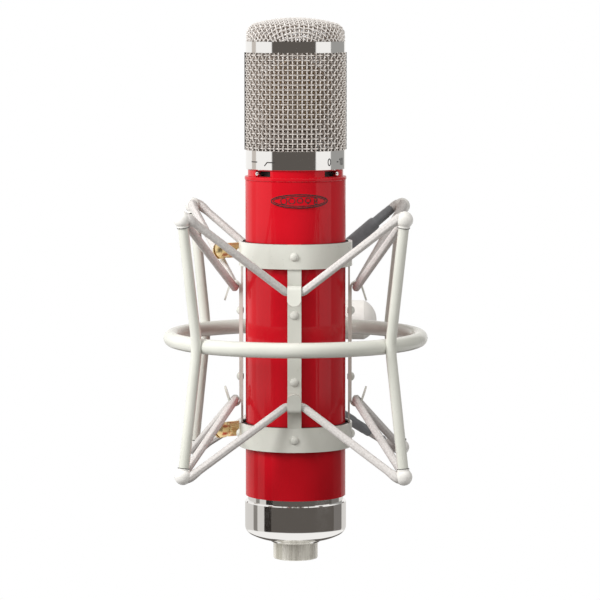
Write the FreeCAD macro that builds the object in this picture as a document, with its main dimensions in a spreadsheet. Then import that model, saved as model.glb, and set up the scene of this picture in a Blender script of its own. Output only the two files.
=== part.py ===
"""Studio valve condenser microphone hung in an elastic shock mount.

Row frame: the origin is the centre of the stand thread's mouth, +Z up, the microphone hangs in
front of the stand, towards -Y. Most pieces are drawn in the axis frame, whose origin is the centre
of the support ring on the microphone's axis, and are then seated in the row frame.
"""

import FreeCAD, Part
import math
import os
import re
import Sketcher
from FreeCAD import Placement, Rotation, Vector

DIMENSIONS = {
    # Stand adapter and tilt joint
    "pivot_height": 32.0,
    "pivot_reach": 80.0,
    "adapter_radius": 12.2,
    "adapter_height": 19.0,
    "tongue_width": 16.0,
    "tongue_radius": 9.0,
    "insert_radius": 9.6,
    "insert_length": 15.0,
    "thread_radius": 7.9375,
    "bolt_radius": 3.0,
    "head_radius": 5.5,
    "head_length": 3.4,
    "running_fit": 0.05,
    "washer_gauge": 0.5,
    "washer_radius": 8.6,
    "fork_gap": 17.2,
    "fork_width": 26.0,
    "bridge_radius": 5.5,
    "bridge_gap": 13.0,
    "knob_radius": 9.1,
    "knob_start": 13.3,
    "knob_end": 36.0,
    "knob_hub": 6.5,
    "knob_dome": 6.0,
    # Support ring, posts and ball caps
    "ring_radius": 54.8,
    "ring_bar": 3.3,
    "post_bar": 2.3,
    "post_waist": 58.9,
    "bend_radius": 40.0,
    "leg_angle": 8.6,
    "leg_length": 49.6,
    "ball_radius": 3.65,
    "cap_drop": 2.5,
    "cap_skirt": 3.4,
    "elastic_bar": 1.8,
    "elastic_hole": 2.02,
    # Cradle
    "cradle_drop": 2.6,
    "band_inner": 24.1,
    "band_gauge": 0.8,
    "band_height": 10.7,
    "band_station": 39.9,
    "split_angle": 126.87,
    "split_width": 3.0,
    "ear_gauge": 1.2,
    "ear_end": 33.6,
    "screw_station": 29.0,
    "strap_width": 6.0,
    "strap_gauge": 0.8,
    "strap_inner": 23.1,
    "strip_rivet": 14.6,
    "rivet_shank": 1.2,
    "rivet_head": 1.9,
    "rivet_rise": 1.0,
    "hook_station": 24.9,
    "hook_radius": 2.0,
    "tongue_flare": 17.7,
    "tongue_length": 7.0,
    "liner_inner": 22.06,
    "screw_radius": 2.0,
    "nut_radius": 4.04,
    "nut_length": 3.2,
    "barrel_start": 8.0,
    "barrel_end": 20.0,
    "barrel_radius": 4.0,
    "screw_end": 23.4,
    # Elastics and their sleeves
    "ball_reach": 2.0,
    "ball_bend": 2.4,
    "lacing_out": -0.9,
    "lacing_up": 1.0,
    "hook_reach": 3.8,
    "hook_bend": 3.0,
    "upper_sleeve_radius": 3.0,
    "lower_sleeve_radius": 2.6,
    "sleeve_neck": 2.15,
    # Microphone
    "mic_turn": 6.0,
    "tube_radius": 22.0,
    "tube_bore": 20.5,
    "tube_foot": -69.6,
    "bead_foot": 69.4,
    "bead_radius": 22.3,
    "neck_foot": 71.2,
    "neck_radius": 20.85,
    "neck_bore": 19.35,
    "neck_head": 74.3,
    "ring_outer": 21.8,
    "mesh_foot": 82.8,
    "mesh_outer": 22.35,
    "mesh_bore": 21.0,
    "mesh_head": 125.1,
    "inner_mesh_outer": 20.6,
    "rib_width": 3.2,
    "dome_foot": 129.9,
    "dome_head": 140.4,
    "dome_outer": 21.7,
    "dome_shoulder": 5.6,
    "dome_angle": 75.0,
    "dome_gauge": 1.2,
    "capsule_height": 106.0,
    "capsule_radius": 16.0,
    "capsule_depth": 9.0,
    "diaphragm_radius": 13.2,
    "slot_reach": 4.4,
    "slot_centre": 72.7,
    "slot_rise": 1.25,
    "low_cut_angle": -48.8,
    "pad_angle": 44.7,
    "switch_travel": 2.3,
    "switch_face": 18.3,
    "switch_knob": 0.95,
    "badge_height": 61.3,
    "badge_length": 24.8,
    "badge_width": 6.2,
    "badge_gauge": 0.45,
    "spacer_radius": 21.0,
    "cup_head": -72.0,
    "cup_radius": 22.3,
    "cup_edge": -83.3,
    "cup_foot": -89.34,
    "shell_radius": 9.8,
    "shell_bore": 8.3,
    "shell_foot": -97.9,
    "insert_foot": -86.0,
    "pin_foot": -92.5,
}

POSTS = {"front_left": 225, "front_right": 315, "rear_left": 135, "rear_right": 45}
SIDES = {"front": 270, "left": 180, "right": 0, "rear": 90}
AROUND = (270, 315, 0, 45, 90, 135, 180, 225)

X_AXIS = Vector(1, 0, 0)
Y_AXIS = Vector(0, 1, 0)
Z_AXIS = Vector(0, 0, 1)

document = FreeCAD.newDocument("valve_microphone")
dims = document.addObject("Spreadsheet::Sheet", "dims")
for row, (alias, size) in enumerate(DIMENSIONS.items(), start=1):
    dims.set(f"A{row}", alias)
    dims.set(f"B{row}", str(size))
    dims.setAlias(f"B{row}", alias)
document.recompute()

finished = []


# ---------------------------------------------------------------- sizes and places

def formula(text):
    """A size formula, with each cell's name written the way the document reads it."""
    return re.sub(r"[a-z]+(?:_[a-z]+)+", r"dims.\g<0>", text)


def number(text):
    """The value of a size formula."""
    value = dims.evalExpression(formula(text))
    return float(getattr(value, "Value", value))


def shifted(x="0", y="0", z="0"):
    """A placement moved by three size formulas."""
    return Placement(Vector(number(x), number(y), number(z)), Rotation())


def turned(degrees, axis=Z_AXIS):
    """A placement turned about an axis through the origin."""
    return Placement(Vector(), Rotation(axis, degrees))


PIVOT = shifted(z="pivot_height")
AXIS = shifted(y="-pivot_reach", z="pivot_height")
CRADLE = AXIS * shifted(z="-cradle_drop")
MICROPHONE = AXIS * turned(number("mic_turn"))
FRONT = turned(-90)


# ---------------------------------------------------------------- document objects

def primitive(kind, name, place, **sizes):
    """A Part primitive, seated in the row frame, with its sizes bound to the sheet."""
    item = document.addObject(kind, name)
    for size, text in sizes.items():
        item.setExpression(size, formula(text))
    item.Placement = place
    return item


def box(name, place, length, width, height):
    """A box centred across X and Y on its place, and standing on it."""
    centred = place * shifted(f"-({length}) / 2", f"-({width}) / 2")
    return primitive("Part::Box", name, centred, Length=length, Width=width, Height=height)


def rod(name, place, radius, height):
    """A cylinder along its place's Z axis."""
    return primitive("Part::Cylinder", name, place, Radius=radius, Height=height)


def cut(name, base, *tools):
    """The base with every tool taken away."""
    result = base
    for tool in tools:
        step = document.addObject("Part::Cut", name)
        step.Base = result
        step.Tool = tool
        result = step
    return result


def fuse(name, *shapes):
    """One solid made of several that overlap or touch."""
    whole = document.addObject("Part::MultiFuse", name)
    whole.Shapes = list(shapes)
    return whole


def group(name, *links):
    """Several like pieces kept together as separate solids."""
    together = document.addObject("Part::Compound", name)
    together.Links = list(links)
    return together


def solid(name, shape):
    """A shape made with Part's own functions, for what no feature makes."""
    item = document.addObject("Part::Feature", name)
    item.Shape = shape
    return item


def piece(label, item):
    """Name a finished sub-part."""
    item.Label = label
    finished.append(item)
    return item


# ---------------------------------------------------------------- sketches and bodies

def new_body(name):
    return document.addObject("PartDesign::Body", name)


def sketch(body, role, name):
    """A sketch flat on one of the body's own origin planes."""
    plan = body.newObject("Sketcher::SketchObject", name)
    plane = next(item for item in body.Origin.OriginFeatures if item.Role == role)
    plan.AttachmentSupport = [(plane, "")]
    plan.MapMode = "FlatFace"
    return plan


def bind_point(plan, edge, end, across, up):
    """Fix one end of an edge, or a centre, by two size formulas."""
    for kind, text, axis_line in (("DistanceX", across, -2), ("DistanceY", up, -1)):
        value = number(text)
        if abs(value) < 1e-9:
            plan.addConstraint(Sketcher.Constraint("PointOnObject", edge, end, axis_line))
            continue
        index = plan.addConstraint(Sketcher.Constraint(kind, -1, 1, edge, end, value))
        plan.setExpression(f"Constraints[{index}]", formula(text))


def add_arc(plan, start, stop, text, turn):
    """An arc of less than half a circle from start to stop; turn is 1 to the left, -1 to the right."""
    radius = number(text)
    chord = stop - start
    half = chord.Length / 2
    sideways = Vector(-chord.y, chord.x, 0).normalize()
    centre = start + chord * 0.5 + sideways * turn * math.sqrt(radius ** 2 - half ** 2)
    from_angle = math.atan2(start.y - centre.y, start.x - centre.x)
    to_angle = math.atan2(stop.y - centre.y, stop.x - centre.x)
    if turn < 0:
        from_angle, to_angle = to_angle, from_angle
    circle = Part.Circle(centre, Z_AXIS, radius)
    edge = plan.addGeometry(Part.ArcOfCircle(circle, from_angle, to_angle), False)
    index = plan.addConstraint(Sketcher.Constraint("Radius", edge, radius))
    plan.setExpression(f"Constraints[{index}]", formula(text))
    return (edge, 1, 2) if turn > 0 else (edge, 2, 1)


def outline(plan, corners, closed=True):
    """Draw straight edges and arcs through corners.

    A corner is (across, up), or (across, up, radius, turn) where an arc leads to the next one.
    """
    spots = [Vector(number(corner[0]), number(corner[1]), 0) for corner in corners]
    count = len(corners) if closed else len(corners) - 1
    edges = []
    for index in range(count):
        start, stop = spots[index], spots[(index + 1) % len(spots)]
        if len(corners[index]) == 2:
            edges.append((plan.addGeometry(Part.LineSegment(start, stop), False), 1, 2))
        else:
            edges.append(add_arc(plan, start, stop, *corners[index][2:]))
    for index, (edge, first, last) in enumerate(edges):
        bind_point(plan, edge, first, *corners[index][:2])
        if closed or index + 1 < count:
            following = edges[(index + 1) % len(edges)]
            plan.addConstraint(Sketcher.Constraint("Coincident", edge, last, *following[:2]))
    if not closed:
        bind_point(plan, edges[-1][0], edges[-1][2], *corners[-1][:2])


def circle(plan, across, up, radius):
    edge = plan.addGeometry(Part.Circle(Vector(number(across), number(up), 0), Z_AXIS, number(radius)), False)
    bind_point(plan, edge, 3, across, up)
    index = plan.addConstraint(Sketcher.Constraint("Radius", edge, number(radius)))
    plan.setExpression(f"Constraints[{index}]", formula(radius))


def rectangle(plan, left, low, right, high):
    outline(plan, [(left, low), (right, low), (right, high), (left, high)])


def pad(body, plan, length, both_ways=False):
    feature = body.newObject("PartDesign::Pad", f"{plan.Name}_pad")
    feature.Profile = plan
    feature.Midplane = both_ways
    feature.setExpression("Length", formula(length))
    return feature


def pocket_through(body, plan):
    """Cut a sketch right through the body, both ways."""
    feature = body.newObject("PartDesign::Pocket", f"{plan.Name}_pocket")
    feature.Profile = plan
    feature.Type = "ThroughAll"
    feature.Midplane = True
    return feature


def dome(radius, rise):
    """The radius of a spherical cap of a given edge radius and rise, as a formula."""
    return f"(({radius}) ^ 2 + ({rise}) ^ 2) / (2 * ({rise}))"


def revolved(name, corners):
    """A body of revolution about its own Z axis, from an outline of (radius, height) corners."""
    body = new_body(name)
    plan = sketch(body, "XZ_Plane", f"{name}_outline")
    outline(plan, corners)
    feature = body.newObject("PartDesign::Revolution", f"{name}_turned")
    feature.Profile = plan
    feature.ReferenceAxis = (plan, ["V_Axis"])
    feature.Angle = 360
    return body


def tube(name, bore, outer, foot, head):
    """A plain tube or ring about its own Z axis."""
    return revolved(name, [(bore, foot), (outer, foot), (outer, head), (bore, head)])


def seated(item, place):
    item.Placement = place
    return item


# ---------------------------------------------------------------- stand adapter and tilt joint

def make_stand_adapter():
    """Turned foot with a tongue for the fork, and the brass thread insert pressed into it."""
    body = new_body("adapter_body")
    foot = sketch(body, "XY_Plane", "adapter_foot")
    circle(foot, "0", "0", "adapter_radius")
    pad(body, foot, "adapter_height")
    side = sketch(body, "YZ_Plane", "adapter_tongue")
    outline(side, [
        ("-tongue_radius", "adapter_height - 1"),
        ("tongue_radius", "adapter_height - 1"),
        ("tongue_radius", "pivot_height", "tongue_radius", 1),
        ("0", "pivot_height + tongue_radius", "tongue_radius", 1),
        ("-tongue_radius", "pivot_height"),
    ])
    pad(body, side, "tongue_width", both_ways=True)
    hole = sketch(body, "YZ_Plane", "adapter_hole")
    circle(hole, "0", "pivot_height", "bolt_radius + running_fit")
    pocket_through(body, hole)
    socket = sketch(body, "XY_Plane", "adapter_socket")
    circle(socket, "0", "0", "insert_radius")
    recess = body.newObject("PartDesign::Pocket", "adapter_recess")
    recess.Profile = socket
    recess.Reversed = True
    recess.setExpression("Length", formula("insert_length"))
    piece("stand_adapter", body)
    piece("thread_insert", tube("insert_body", "thread_radius", "insert_radius", "0", "insert_length"))


def make_tilt_joint():
    """Fork welded to the support ring, with its bolt, friction washers and domed clamp knob."""
    body = new_body("fork_body")
    side = sketch(body, "YZ_Plane", "fork_side")
    outline(side, [
        ("ring_radius", "-bridge_radius"),
        ("pivot_reach - bridge_gap", "-bridge_radius"),
        ("pivot_reach", "-tongue_radius", "tongue_radius", 1),
        ("pivot_reach + tongue_radius", "0", "tongue_radius", 1),
        ("pivot_reach", "tongue_radius"),
        ("pivot_reach - bridge_gap", "bridge_radius"),
        ("ring_radius", "bridge_radius"),
    ])
    pad(body, side, "fork_width", both_ways=True)
    slot = sketch(body, "XY_Plane", "fork_slot")
    rectangle(slot, "-fork_gap / 2", "pivot_reach - bridge_gap", "fork_gap / 2", "pivot_reach + 2 * tongue_radius")
    pocket_through(body, slot)
    hole = sketch(body, "YZ_Plane", "fork_hole")
    circle(hole, "pivot_reach", "0", "bolt_radius")
    pocket_through(body, hole)
    seated(body, AXIS)
    trim = primitive("Part::Torus", "fork_trim", AXIS, Radius1="ring_radius", Radius2="ring_bar")
    hollow = rod("fork_hollow", AXIS * shifted(z="-bridge_radius - 1"), "ring_radius", "2 * bridge_radius + 2")
    piece("ring_bracket", cut("bracket_trimmed", body, trim, hollow))

    along_x = PIVOT * turned(90, Y_AXIS)
    head = rod("bolt_head", along_x * shifted(z="-fork_width / 2 - head_length"), "head_radius", "head_length")
    shank = rod("bolt_shank", along_x * shifted(z="-fork_width / 2"), "bolt_radius", "fork_width / 2 + knob_end - 6")
    piece("tilt_bolt", fuse("bolt_whole", head, shank))

    washers = []
    for side_name, start in (("left", "-fork_gap / 2"), ("right", "fork_gap / 2 - washer_gauge")):
        disc = rod(f"washer_{side_name}", along_x * shifted(z=start), "washer_radius", "washer_gauge")
        bore = rod(f"washer_bore_{side_name}", along_x * shifted(z=start), "bolt_radius", "washer_gauge")
        washers.append(cut(f"washer_{side_name}_ring", disc, bore))
    piece("friction_washers", group("washer_pair", *washers))

    knob = revolved("knob_body", [
        ("bolt_radius + running_fit", "knob_start"),
        ("knob_hub", "knob_start"),
        ("knob_hub", "knob_start + 1.7"),
        ("knob_radius - 0.8", "knob_start + 1.7"),
        ("knob_radius", "knob_start + 2.5"),
        ("knob_radius", "knob_end - knob_dome", dome("knob_radius", "knob_dome"), 1),
        ("0", "knob_end"),
        ("0", "knob_end - 5"),
        ("bolt_radius + running_fit", "knob_end - 5"),
    ])
    piece("tilt_knob", seated(knob, along_x))


# ---------------------------------------------------------------- support ring, posts and caps

BALL_OUT = "post_waist + bend_radius * (1 - cos(leg_angle)) + leg_length * sin(leg_angle)"
BALL_UP = "bend_radius * sin(leg_angle) + leg_length * cos(leg_angle)"
TUBE_LENGTH = "(leg_length - cap_skirt)"


def make_post(name, azimuth):
    """A rod bent outwards at the ring, swept from its middle and mirrored to its lower half."""
    body = new_body(f"{name}_rod")
    path = sketch(body, "XZ_Plane", f"{name}_path")
    outline(path, [
        ("post_waist", "0", "bend_radius", -1),
        ("post_waist + bend_radius * (1 - cos(leg_angle))", "bend_radius * sin(leg_angle)"),
        (
            f"post_waist + bend_radius * (1 - cos(leg_angle)) + {TUBE_LENGTH} * sin(leg_angle)",
            f"bend_radius * sin(leg_angle) + {TUBE_LENGTH} * cos(leg_angle)",
        ),
    ], closed=False)
    section = sketch(body, "XY_Plane", f"{name}_section")
    circle(section, "post_waist", "0", "post_bar")
    sweep = body.newObject("PartDesign::AdditivePipe", f"{name}_sweep")
    sweep.Profile = section
    sweep.Spine = (path, ["Edge1", "Edge2"])
    mirror = body.newObject("PartDesign::Mirrored", f"{name}_mirror")
    mirror.Originals = [sweep]
    mirror.MirrorPlane = (section, [""])
    body.Tip = mirror
    return piece(name, seated(body, AXIS * turned(azimuth)))


def make_caps(label, flip, bends):
    """Four ball caps on short skirts, each hollowed from its inner side for the elastic's hairpin."""
    caps = []
    for corner, azimuth in POSTS.items():
        centre = AXIS * turned(azimuth) * flip * shifted(BALL_OUT, "0", BALL_UP)
        leg = centre * turned(number("leg_angle"), Y_AXIS)
        ball = primitive("Part::Sphere", f"{label}_{corner}", leg, Radius="ball_radius",
                         Angle1="-asin(cap_drop / ball_radius)")
        skirt = rod(f"{label}_skirt_{corner}", leg * shifted(z="-cap_skirt"), "sqrt(ball_radius^2 - cap_drop^2)",
                    "cap_skirt - cap_drop")
        rooms = [solid(f"{label}_room", shape) for shape in lacing_room(bends, 2 * AROUND.index(azimuth))]
        caps.append(cut(f"{label}_{corner}_laced", fuse(f"{label}_{corner}_whole", ball, skirt), *rooms))
    piece(label, group(f"{label}_four", *caps))


def make_frame():
    """Support ring, notched where the posts are welded to its outside, and the posts with their caps."""
    posts = [make_post(f"post_{corner}", azimuth) for corner, azimuth in POSTS.items()]
    ring = primitive("Part::Torus", "ring_bar_round", AXIS, Radius1="ring_radius", Radius2="ring_bar")
    piece("support_ring", cut("ring_notched", ring, *posts))
    drop = number("cradle_drop")
    make_caps("upper_ball_caps", Placement(), elastic_bends(1, -drop))
    make_caps("lower_ball_caps", turned(180, X_AXIS), elastic_bends(-1, drop))


# ---------------------------------------------------------------- elastics

def bar_between(start, stop, radius):
    return Part.makeCylinder(radius, (stop - start).Length, start, stop - start)


def bend_at(before, corner, after, bend):
    """A round bar's bend at a corner: where it starts, where it ends and its centre."""
    inward = (before - corner).normalize()
    outward = (after - corner).normalize()
    turn = math.pi - inward.getAngle(outward)
    setback = bend * math.tan(turn / 2)
    start = corner + inward * setback
    stop = corner + outward * setback
    middle = corner + (inward + outward).normalize() * (bend / math.cos(turn / 2))
    return start, stop, middle


def bent_bar(start, stop, middle, radius):
    axis = (start - middle).cross(stop - middle)
    disc = Part.Face(Part.Wire(Part.makeCircle(radius, start, axis.cross(start - middle))))
    return disc.revolve(middle, axis, math.degrees((start - middle).getAngle(stop - middle)))


def elastic_corners(flip, rise):
    """The loop's corners, and whether each is at a ball: two at every ball and hook, round the mount."""
    corners = []
    for azimuth in AROUND:
        at_ball = azimuth % 90 != 0
        if at_ball:
            out, up = number(f"{BALL_OUT} + lacing_out"), number(f"{BALL_UP} + lacing_up")
        else:
            out = number("strap_inner + 2 * strap_gauge + hook_radius")
            up = number("hook_station") + rise
        reach = number("ball_reach" if at_ball else "hook_reach")
        for side in (-1, 1):
            local = AXIS * turned(azimuth)
            corners.append((local.multVec(Vector(out, side * reach, flip * up)), at_ball))
    return corners


def elastic_bends(flip, rise):
    """The start, the end and the centre of each bend of the loop."""
    corners = elastic_corners(flip, rise)
    bends = []
    for index, (corner, at_ball) in enumerate(corners):
        bend = number("ball_bend" if at_ball else "hook_bend")
        before, after = corners[index - 1][0], corners[(index + 1) % len(corners)][0]
        bends.append(bend_at(before, corner, after, bend))
    return bends


def lacing_room(bends, first):
    """The room for the elastic in one ball: its hairpin and the ends of its two strands."""
    radius, reach = number("elastic_hole"), number("2 * ball_radius")
    before, after = bends[first - 1][1], bends[(first + 2) % len(bends)][0]
    start, stop = bends[first][0], bends[first + 1][1]
    return [
        bent_bar(*bends[first], radius + 0.08),
        bent_bar(*bends[first + 1], radius + 0.08),
        bar_between(bends[first][1], bends[first + 1][0], radius),
        Part.makeCylinder(radius, reach, start, before - start),
        Part.makeCylinder(radius, reach, stop, after - stop),
    ]


def make_elastic(label, flip, rise):
    """A closed loop of round cord laced through the ball caps and under the hooks."""
    bends = elastic_bends(flip, rise)
    path = []
    for index, (start, stop, middle) in enumerate(bends):
        crown = middle + ((start + stop) / 2 - middle).normalize() * (start - middle).Length
        path.append(Part.Arc(start, crown, stop).toShape())
        path.append(Part.LineSegment(stop, bends[(index + 1) % len(bends)][0]).toShape())
    start, _, middle = bends[0]
    across = (start - middle).cross(bends[0][1] - middle).cross(start - middle)
    section = Part.Wire(Part.makeCircle(number("elastic_bar"), start, across))
    piece(label, solid(f"{label}_loop", Part.Wire(path).makePipeShell([section], True, False)))
    return bends


def make_sleeve(label, start, stop, first, last):
    """A stepped shrink sleeve on the strand from start to stop, between two shares of its length."""
    strand = stop - start
    sleeve_length = strand.Length * (last - first)
    wide, half_wide = f"{label}_radius", "sleeve_neck + 0.15"
    steps = [(0.0, "sleeve_neck"), (0.12, wide), (0.66, half_wide), (0.9, "sleeve_neck")]
    corners = [("elastic_bar", "0")]
    for index, (share, radius) in enumerate(steps):
        end = steps[index + 1][0] if index + 1 < len(steps) else 1.0
        corners.append((radius, str(round(share * sleeve_length, 3))))
        corners.append((radius, str(round(end * sleeve_length, 3))))
    corners.append(("elastic_bar", str(round(sleeve_length, 3))))
    body = revolved(f"{label}_body", corners)
    place = Placement(start + strand * first, Rotation(Z_AXIS, strand))
    piece(label, seated(body, place))


def make_elastics():
    """Upper and lower elastic; the sleeve covers the splice on the strand by the rear hook."""
    drop = number("cradle_drop")
    upper = make_elastic("upper_elastic", 1, -drop)
    lower = make_elastic("lower_elastic", -1, drop)
    rear_hook_side, rear_ball_side = 8, 7
    make_sleeve("upper_sleeve", upper[rear_hook_side][0], upper[rear_ball_side][1], 0.34, 0.92)
    make_sleeve("lower_sleeve", lower[rear_hook_side][0], lower[rear_ball_side][1], 0.12, 0.66)


# ---------------------------------------------------------------- cradle

SPLIT = turned(number("split_angle"))


def make_band(label, station):
    """A split flat band with two ears for the clamp screw and a rivet hole at each strap."""
    foot = CRADLE * shifted(z=f"{station} - band_height / 2")
    wide = rod(f"{label}_outer", foot, "band_inner + band_gauge", "band_height")
    bore = rod(f"{label}_bore", foot, "band_inner", "band_height")
    gap = box(f"{label}_gap", foot * SPLIT * shifted(x="band_inner"), "12", "split_width", "band_height")
    ears = []
    for side in (-1, 1):
        middle = f"{side} * (split_width + ear_gauge) / 2"
        place = foot * SPLIT * shifted(x="(band_inner + 0.1 + ear_end) / 2", y=middle)
        ears.append(box(f"{label}_ear", place, "ear_end - band_inner - 0.1", "ear_gauge", "band_height"))
    whole = fuse(f"{label}_eared", cut(f"{label}_split", wide, bore, gap), *ears)
    holes = []
    for azimuth in SIDES.values():
        place = CRADLE * shifted(z=station) * turned(azimuth) * shifted(x="band_inner - 1") * turned(90, Y_AXIS)
        holes.append(rod(f"{label}_rivet_hole", place, "rivet_shank", "band_gauge + 2"))
    through = CRADLE * SPLIT * shifted(x="screw_station", y="-10", z=station) * turned(-90, X_AXIS)
    holes.append(rod(f"{label}_screw_hole", through, "screw_radius + running_fit", "20"))
    piece(label, cut(f"{label}_drilled", whole, *holes))


def make_strap(label, azimuth):
    """A flat strap behind the bands with four rivet holes."""
    body = new_body(f"{label}_body")
    face = sketch(body, "YZ_Plane", f"{label}_face")
    reach = "(band_station + band_height / 2)"
    rectangle(face, "-strap_width / 2", f"-{reach}", "strap_width / 2", reach)
    for station in ("band_station", "strip_rivet"):
        circle(face, "0", station, "rivet_shank")
        circle(face, "0", f"-{station}", "rivet_shank")
    pad(body, face, "strap_gauge")
    piece(label, seated(body, CRADLE * turned(azimuth) * shifted(x="strap_inner")))


def edges_at(feature, test):
    """Names of the edges whose middle passes a test."""
    names = []
    for index, edge in enumerate(feature.Shape.Edges, start=1):
        middle = edge.valueAt((edge.FirstParameter + edge.LastParameter) / 2)
        if test(middle):
            names.append(f"Edge{index}")
    return names


def make_hook_strip(label, azimuth):
    """A riveted strip whose two ends curl outwards over the elastic and end in a round tongue."""
    back = "strap_inner + strap_gauge"
    centre = f"{back} + strap_gauge + hook_radius"
    outer = "(hook_radius + strap_gauge)"
    body = new_body(f"{label}_body")
    side = sketch(body, "XZ_Plane", f"{label}_side")
    tip_out, tip_down = "tongue_length * sin(tongue_flare)", "tongue_length * cos(tongue_flare)"
    outline(side, [
        (back, "0"),
        (f"{back} + strap_gauge", "0"),
        (f"{back} + strap_gauge", "hook_station", "hook_radius", -1),
        (f"{centre} + hook_radius * cos(tongue_flare)", "hook_station + hook_radius * sin(tongue_flare)"),
        (
            f"{centre} + hook_radius * cos(tongue_flare) + {tip_out}",
            f"hook_station + hook_radius * sin(tongue_flare) - {tip_down}",
        ),
        (
            f"{centre} + {outer} * cos(tongue_flare) + {tip_out}",
            f"hook_station + {outer} * sin(tongue_flare) - {tip_down}",
        ),
        (f"{centre} + {outer} * cos(tongue_flare)", f"hook_station + {outer} * sin(tongue_flare)", outer, 1),
        (back, "hook_station"),
    ])
    half = pad(body, side, "strap_width", both_ways=True)
    document.recompute()
    tip_height = number(f"hook_station + {outer} * sin(tongue_flare) - {tip_down}")
    tip_radius = number(f"{centre} + hook_radius + 1")
    rounded = body.newObject("PartDesign::Fillet", f"{label}_tip")
    corners = edges_at(half, lambda at: at.x > tip_radius and at.z < tip_height and abs(at.y) > 2)
    rounded.Base = (half, corners)
    rounded.setExpression("Radius", formula("strap_width / 2 - 0.1"))
    mirror = body.newObject("PartDesign::Mirrored", f"{label}_mirror")
    mirror.Originals = [half, rounded]
    level = next(item for item in body.Origin.OriginFeatures if item.Role == "XY_Plane")
    mirror.MirrorPlane = (level, [""])
    body.Tip = mirror
    holes = sketch(body, "YZ_Plane", f"{label}_holes")
    circle(holes, "0", "strip_rivet", "rivet_shank")
    circle(holes, "0", "-strip_rivet", "rivet_shank")
    pocket_through(body, holes)
    piece(label, seated(body, CRADLE * turned(azimuth)))


def make_rivets():
    """Sixteen domed rivets: two through each band and two through each hook strip at every strap."""
    rivets = []
    for azimuth in SIDES.values():
        for station in ("band_station", "-band_station", "strip_rivet", "-strip_rivet"):
            if "band" in station:
                sheets = "band_inner + band_gauge - strap_inner"
            else:
                sheets = "2 * strap_gauge"
            rivet = revolved("rivet", [
                ("0", "0"),
                ("rivet_shank", "0"),
                ("rivet_shank", sheets),
                ("rivet_head", sheets),
                ("rivet_head", f"{sheets} + 0.3", dome("rivet_head", "rivet_rise - 0.3"), 1),
                ("0", f"{sheets} + rivet_rise"),
            ])
            place = CRADLE * turned(azimuth) * shifted(x="strap_inner", z=station) * turned(90, Y_AXIS)
            rivets.append(seated(rivet, place))
    piece("rivets", group("rivet_set", *rivets))


def make_liners():
    """Rubber lining of both bands, interrupted at the straps and at the split."""
    liners = []
    for station in ("band_station", "-band_station"):
        foot = CRADLE * shifted(z=f"{station} - band_height / 2")
        wide = rod("liner_outer", foot, "band_inner", "band_height")
        bore = rod("liner_bore", foot, "liner_inner", "band_height")
        gaps = [box("liner_gap", foot * SPLIT * shifted(x="band_inner"), "8", "split_width", "band_height")]
        for azimuth in SIDES.values():
            place = foot * turned(azimuth) * shifted(x="strap_inner")
            gaps.append(box("liner_gap", place, "4", "strap_width + 0.2", "band_height"))
        liners.append(cut("liner", wide, bore, *gaps))
    piece("band_liners", group("liner_pair", *liners))


def make_clamps():
    """Knurled, slotted clamp screws and the nuts behind the far ears."""
    nuts = []
    for name, station in (("upper", "band_station"), ("lower", "-band_station")):
        line = CRADLE * SPLIT * shifted(x="screw_station", z=station) * turned(-90, X_AXIS)
        body = revolved(f"{name}_screw_body", [
            ("0", "-split_width / 2 - ear_gauge - nut_length - 2"),
            ("screw_radius", "-split_width / 2 - ear_gauge - nut_length - 2"),
            ("screw_radius", "split_width / 2 + ear_gauge + running_fit"),
            ("1.4 * screw_radius", "split_width / 2 + ear_gauge + running_fit"),
            ("1.4 * screw_radius", "barrel_start"),
            ("barrel_radius", "barrel_start"),
            ("barrel_radius", "barrel_end"),
            ("barrel_radius - 0.5", "barrel_end"),
            ("barrel_radius - 0.5", "barrel_end + 0.8"),
            ("barrel_radius - 0.1", "barrel_end + 0.8"),
            ("barrel_radius - 0.1", "screw_end - 1.2", dome("barrel_radius - 0.1", "1.2"), 1),
            ("0", "screw_end"),
        ])
        slot = sketch(body, "XZ_Plane", f"{name}_screw_slot")
        rectangle(slot, "-0.55", "screw_end - 1.6", "0.55", "screw_end + 1")
        pocket_through(body, slot)
        piece(f"{name}_thumbscrew", seated(body, line * turned(20)))

        behind = line * shifted(z="-split_width / 2 - ear_gauge - nut_length")
        nut = primitive("Part::Prism", "nut_hexagon", behind, Circumradius="nut_radius", Height="nut_length")
        bore = rod("nut_bore", behind, "screw_radius + running_fit", "nut_length")
        nuts.append(cut("nut", nut, bore))
    piece("clamp_nuts", group("nut_pair", *nuts))


# ---------------------------------------------------------------- microphone head

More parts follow.
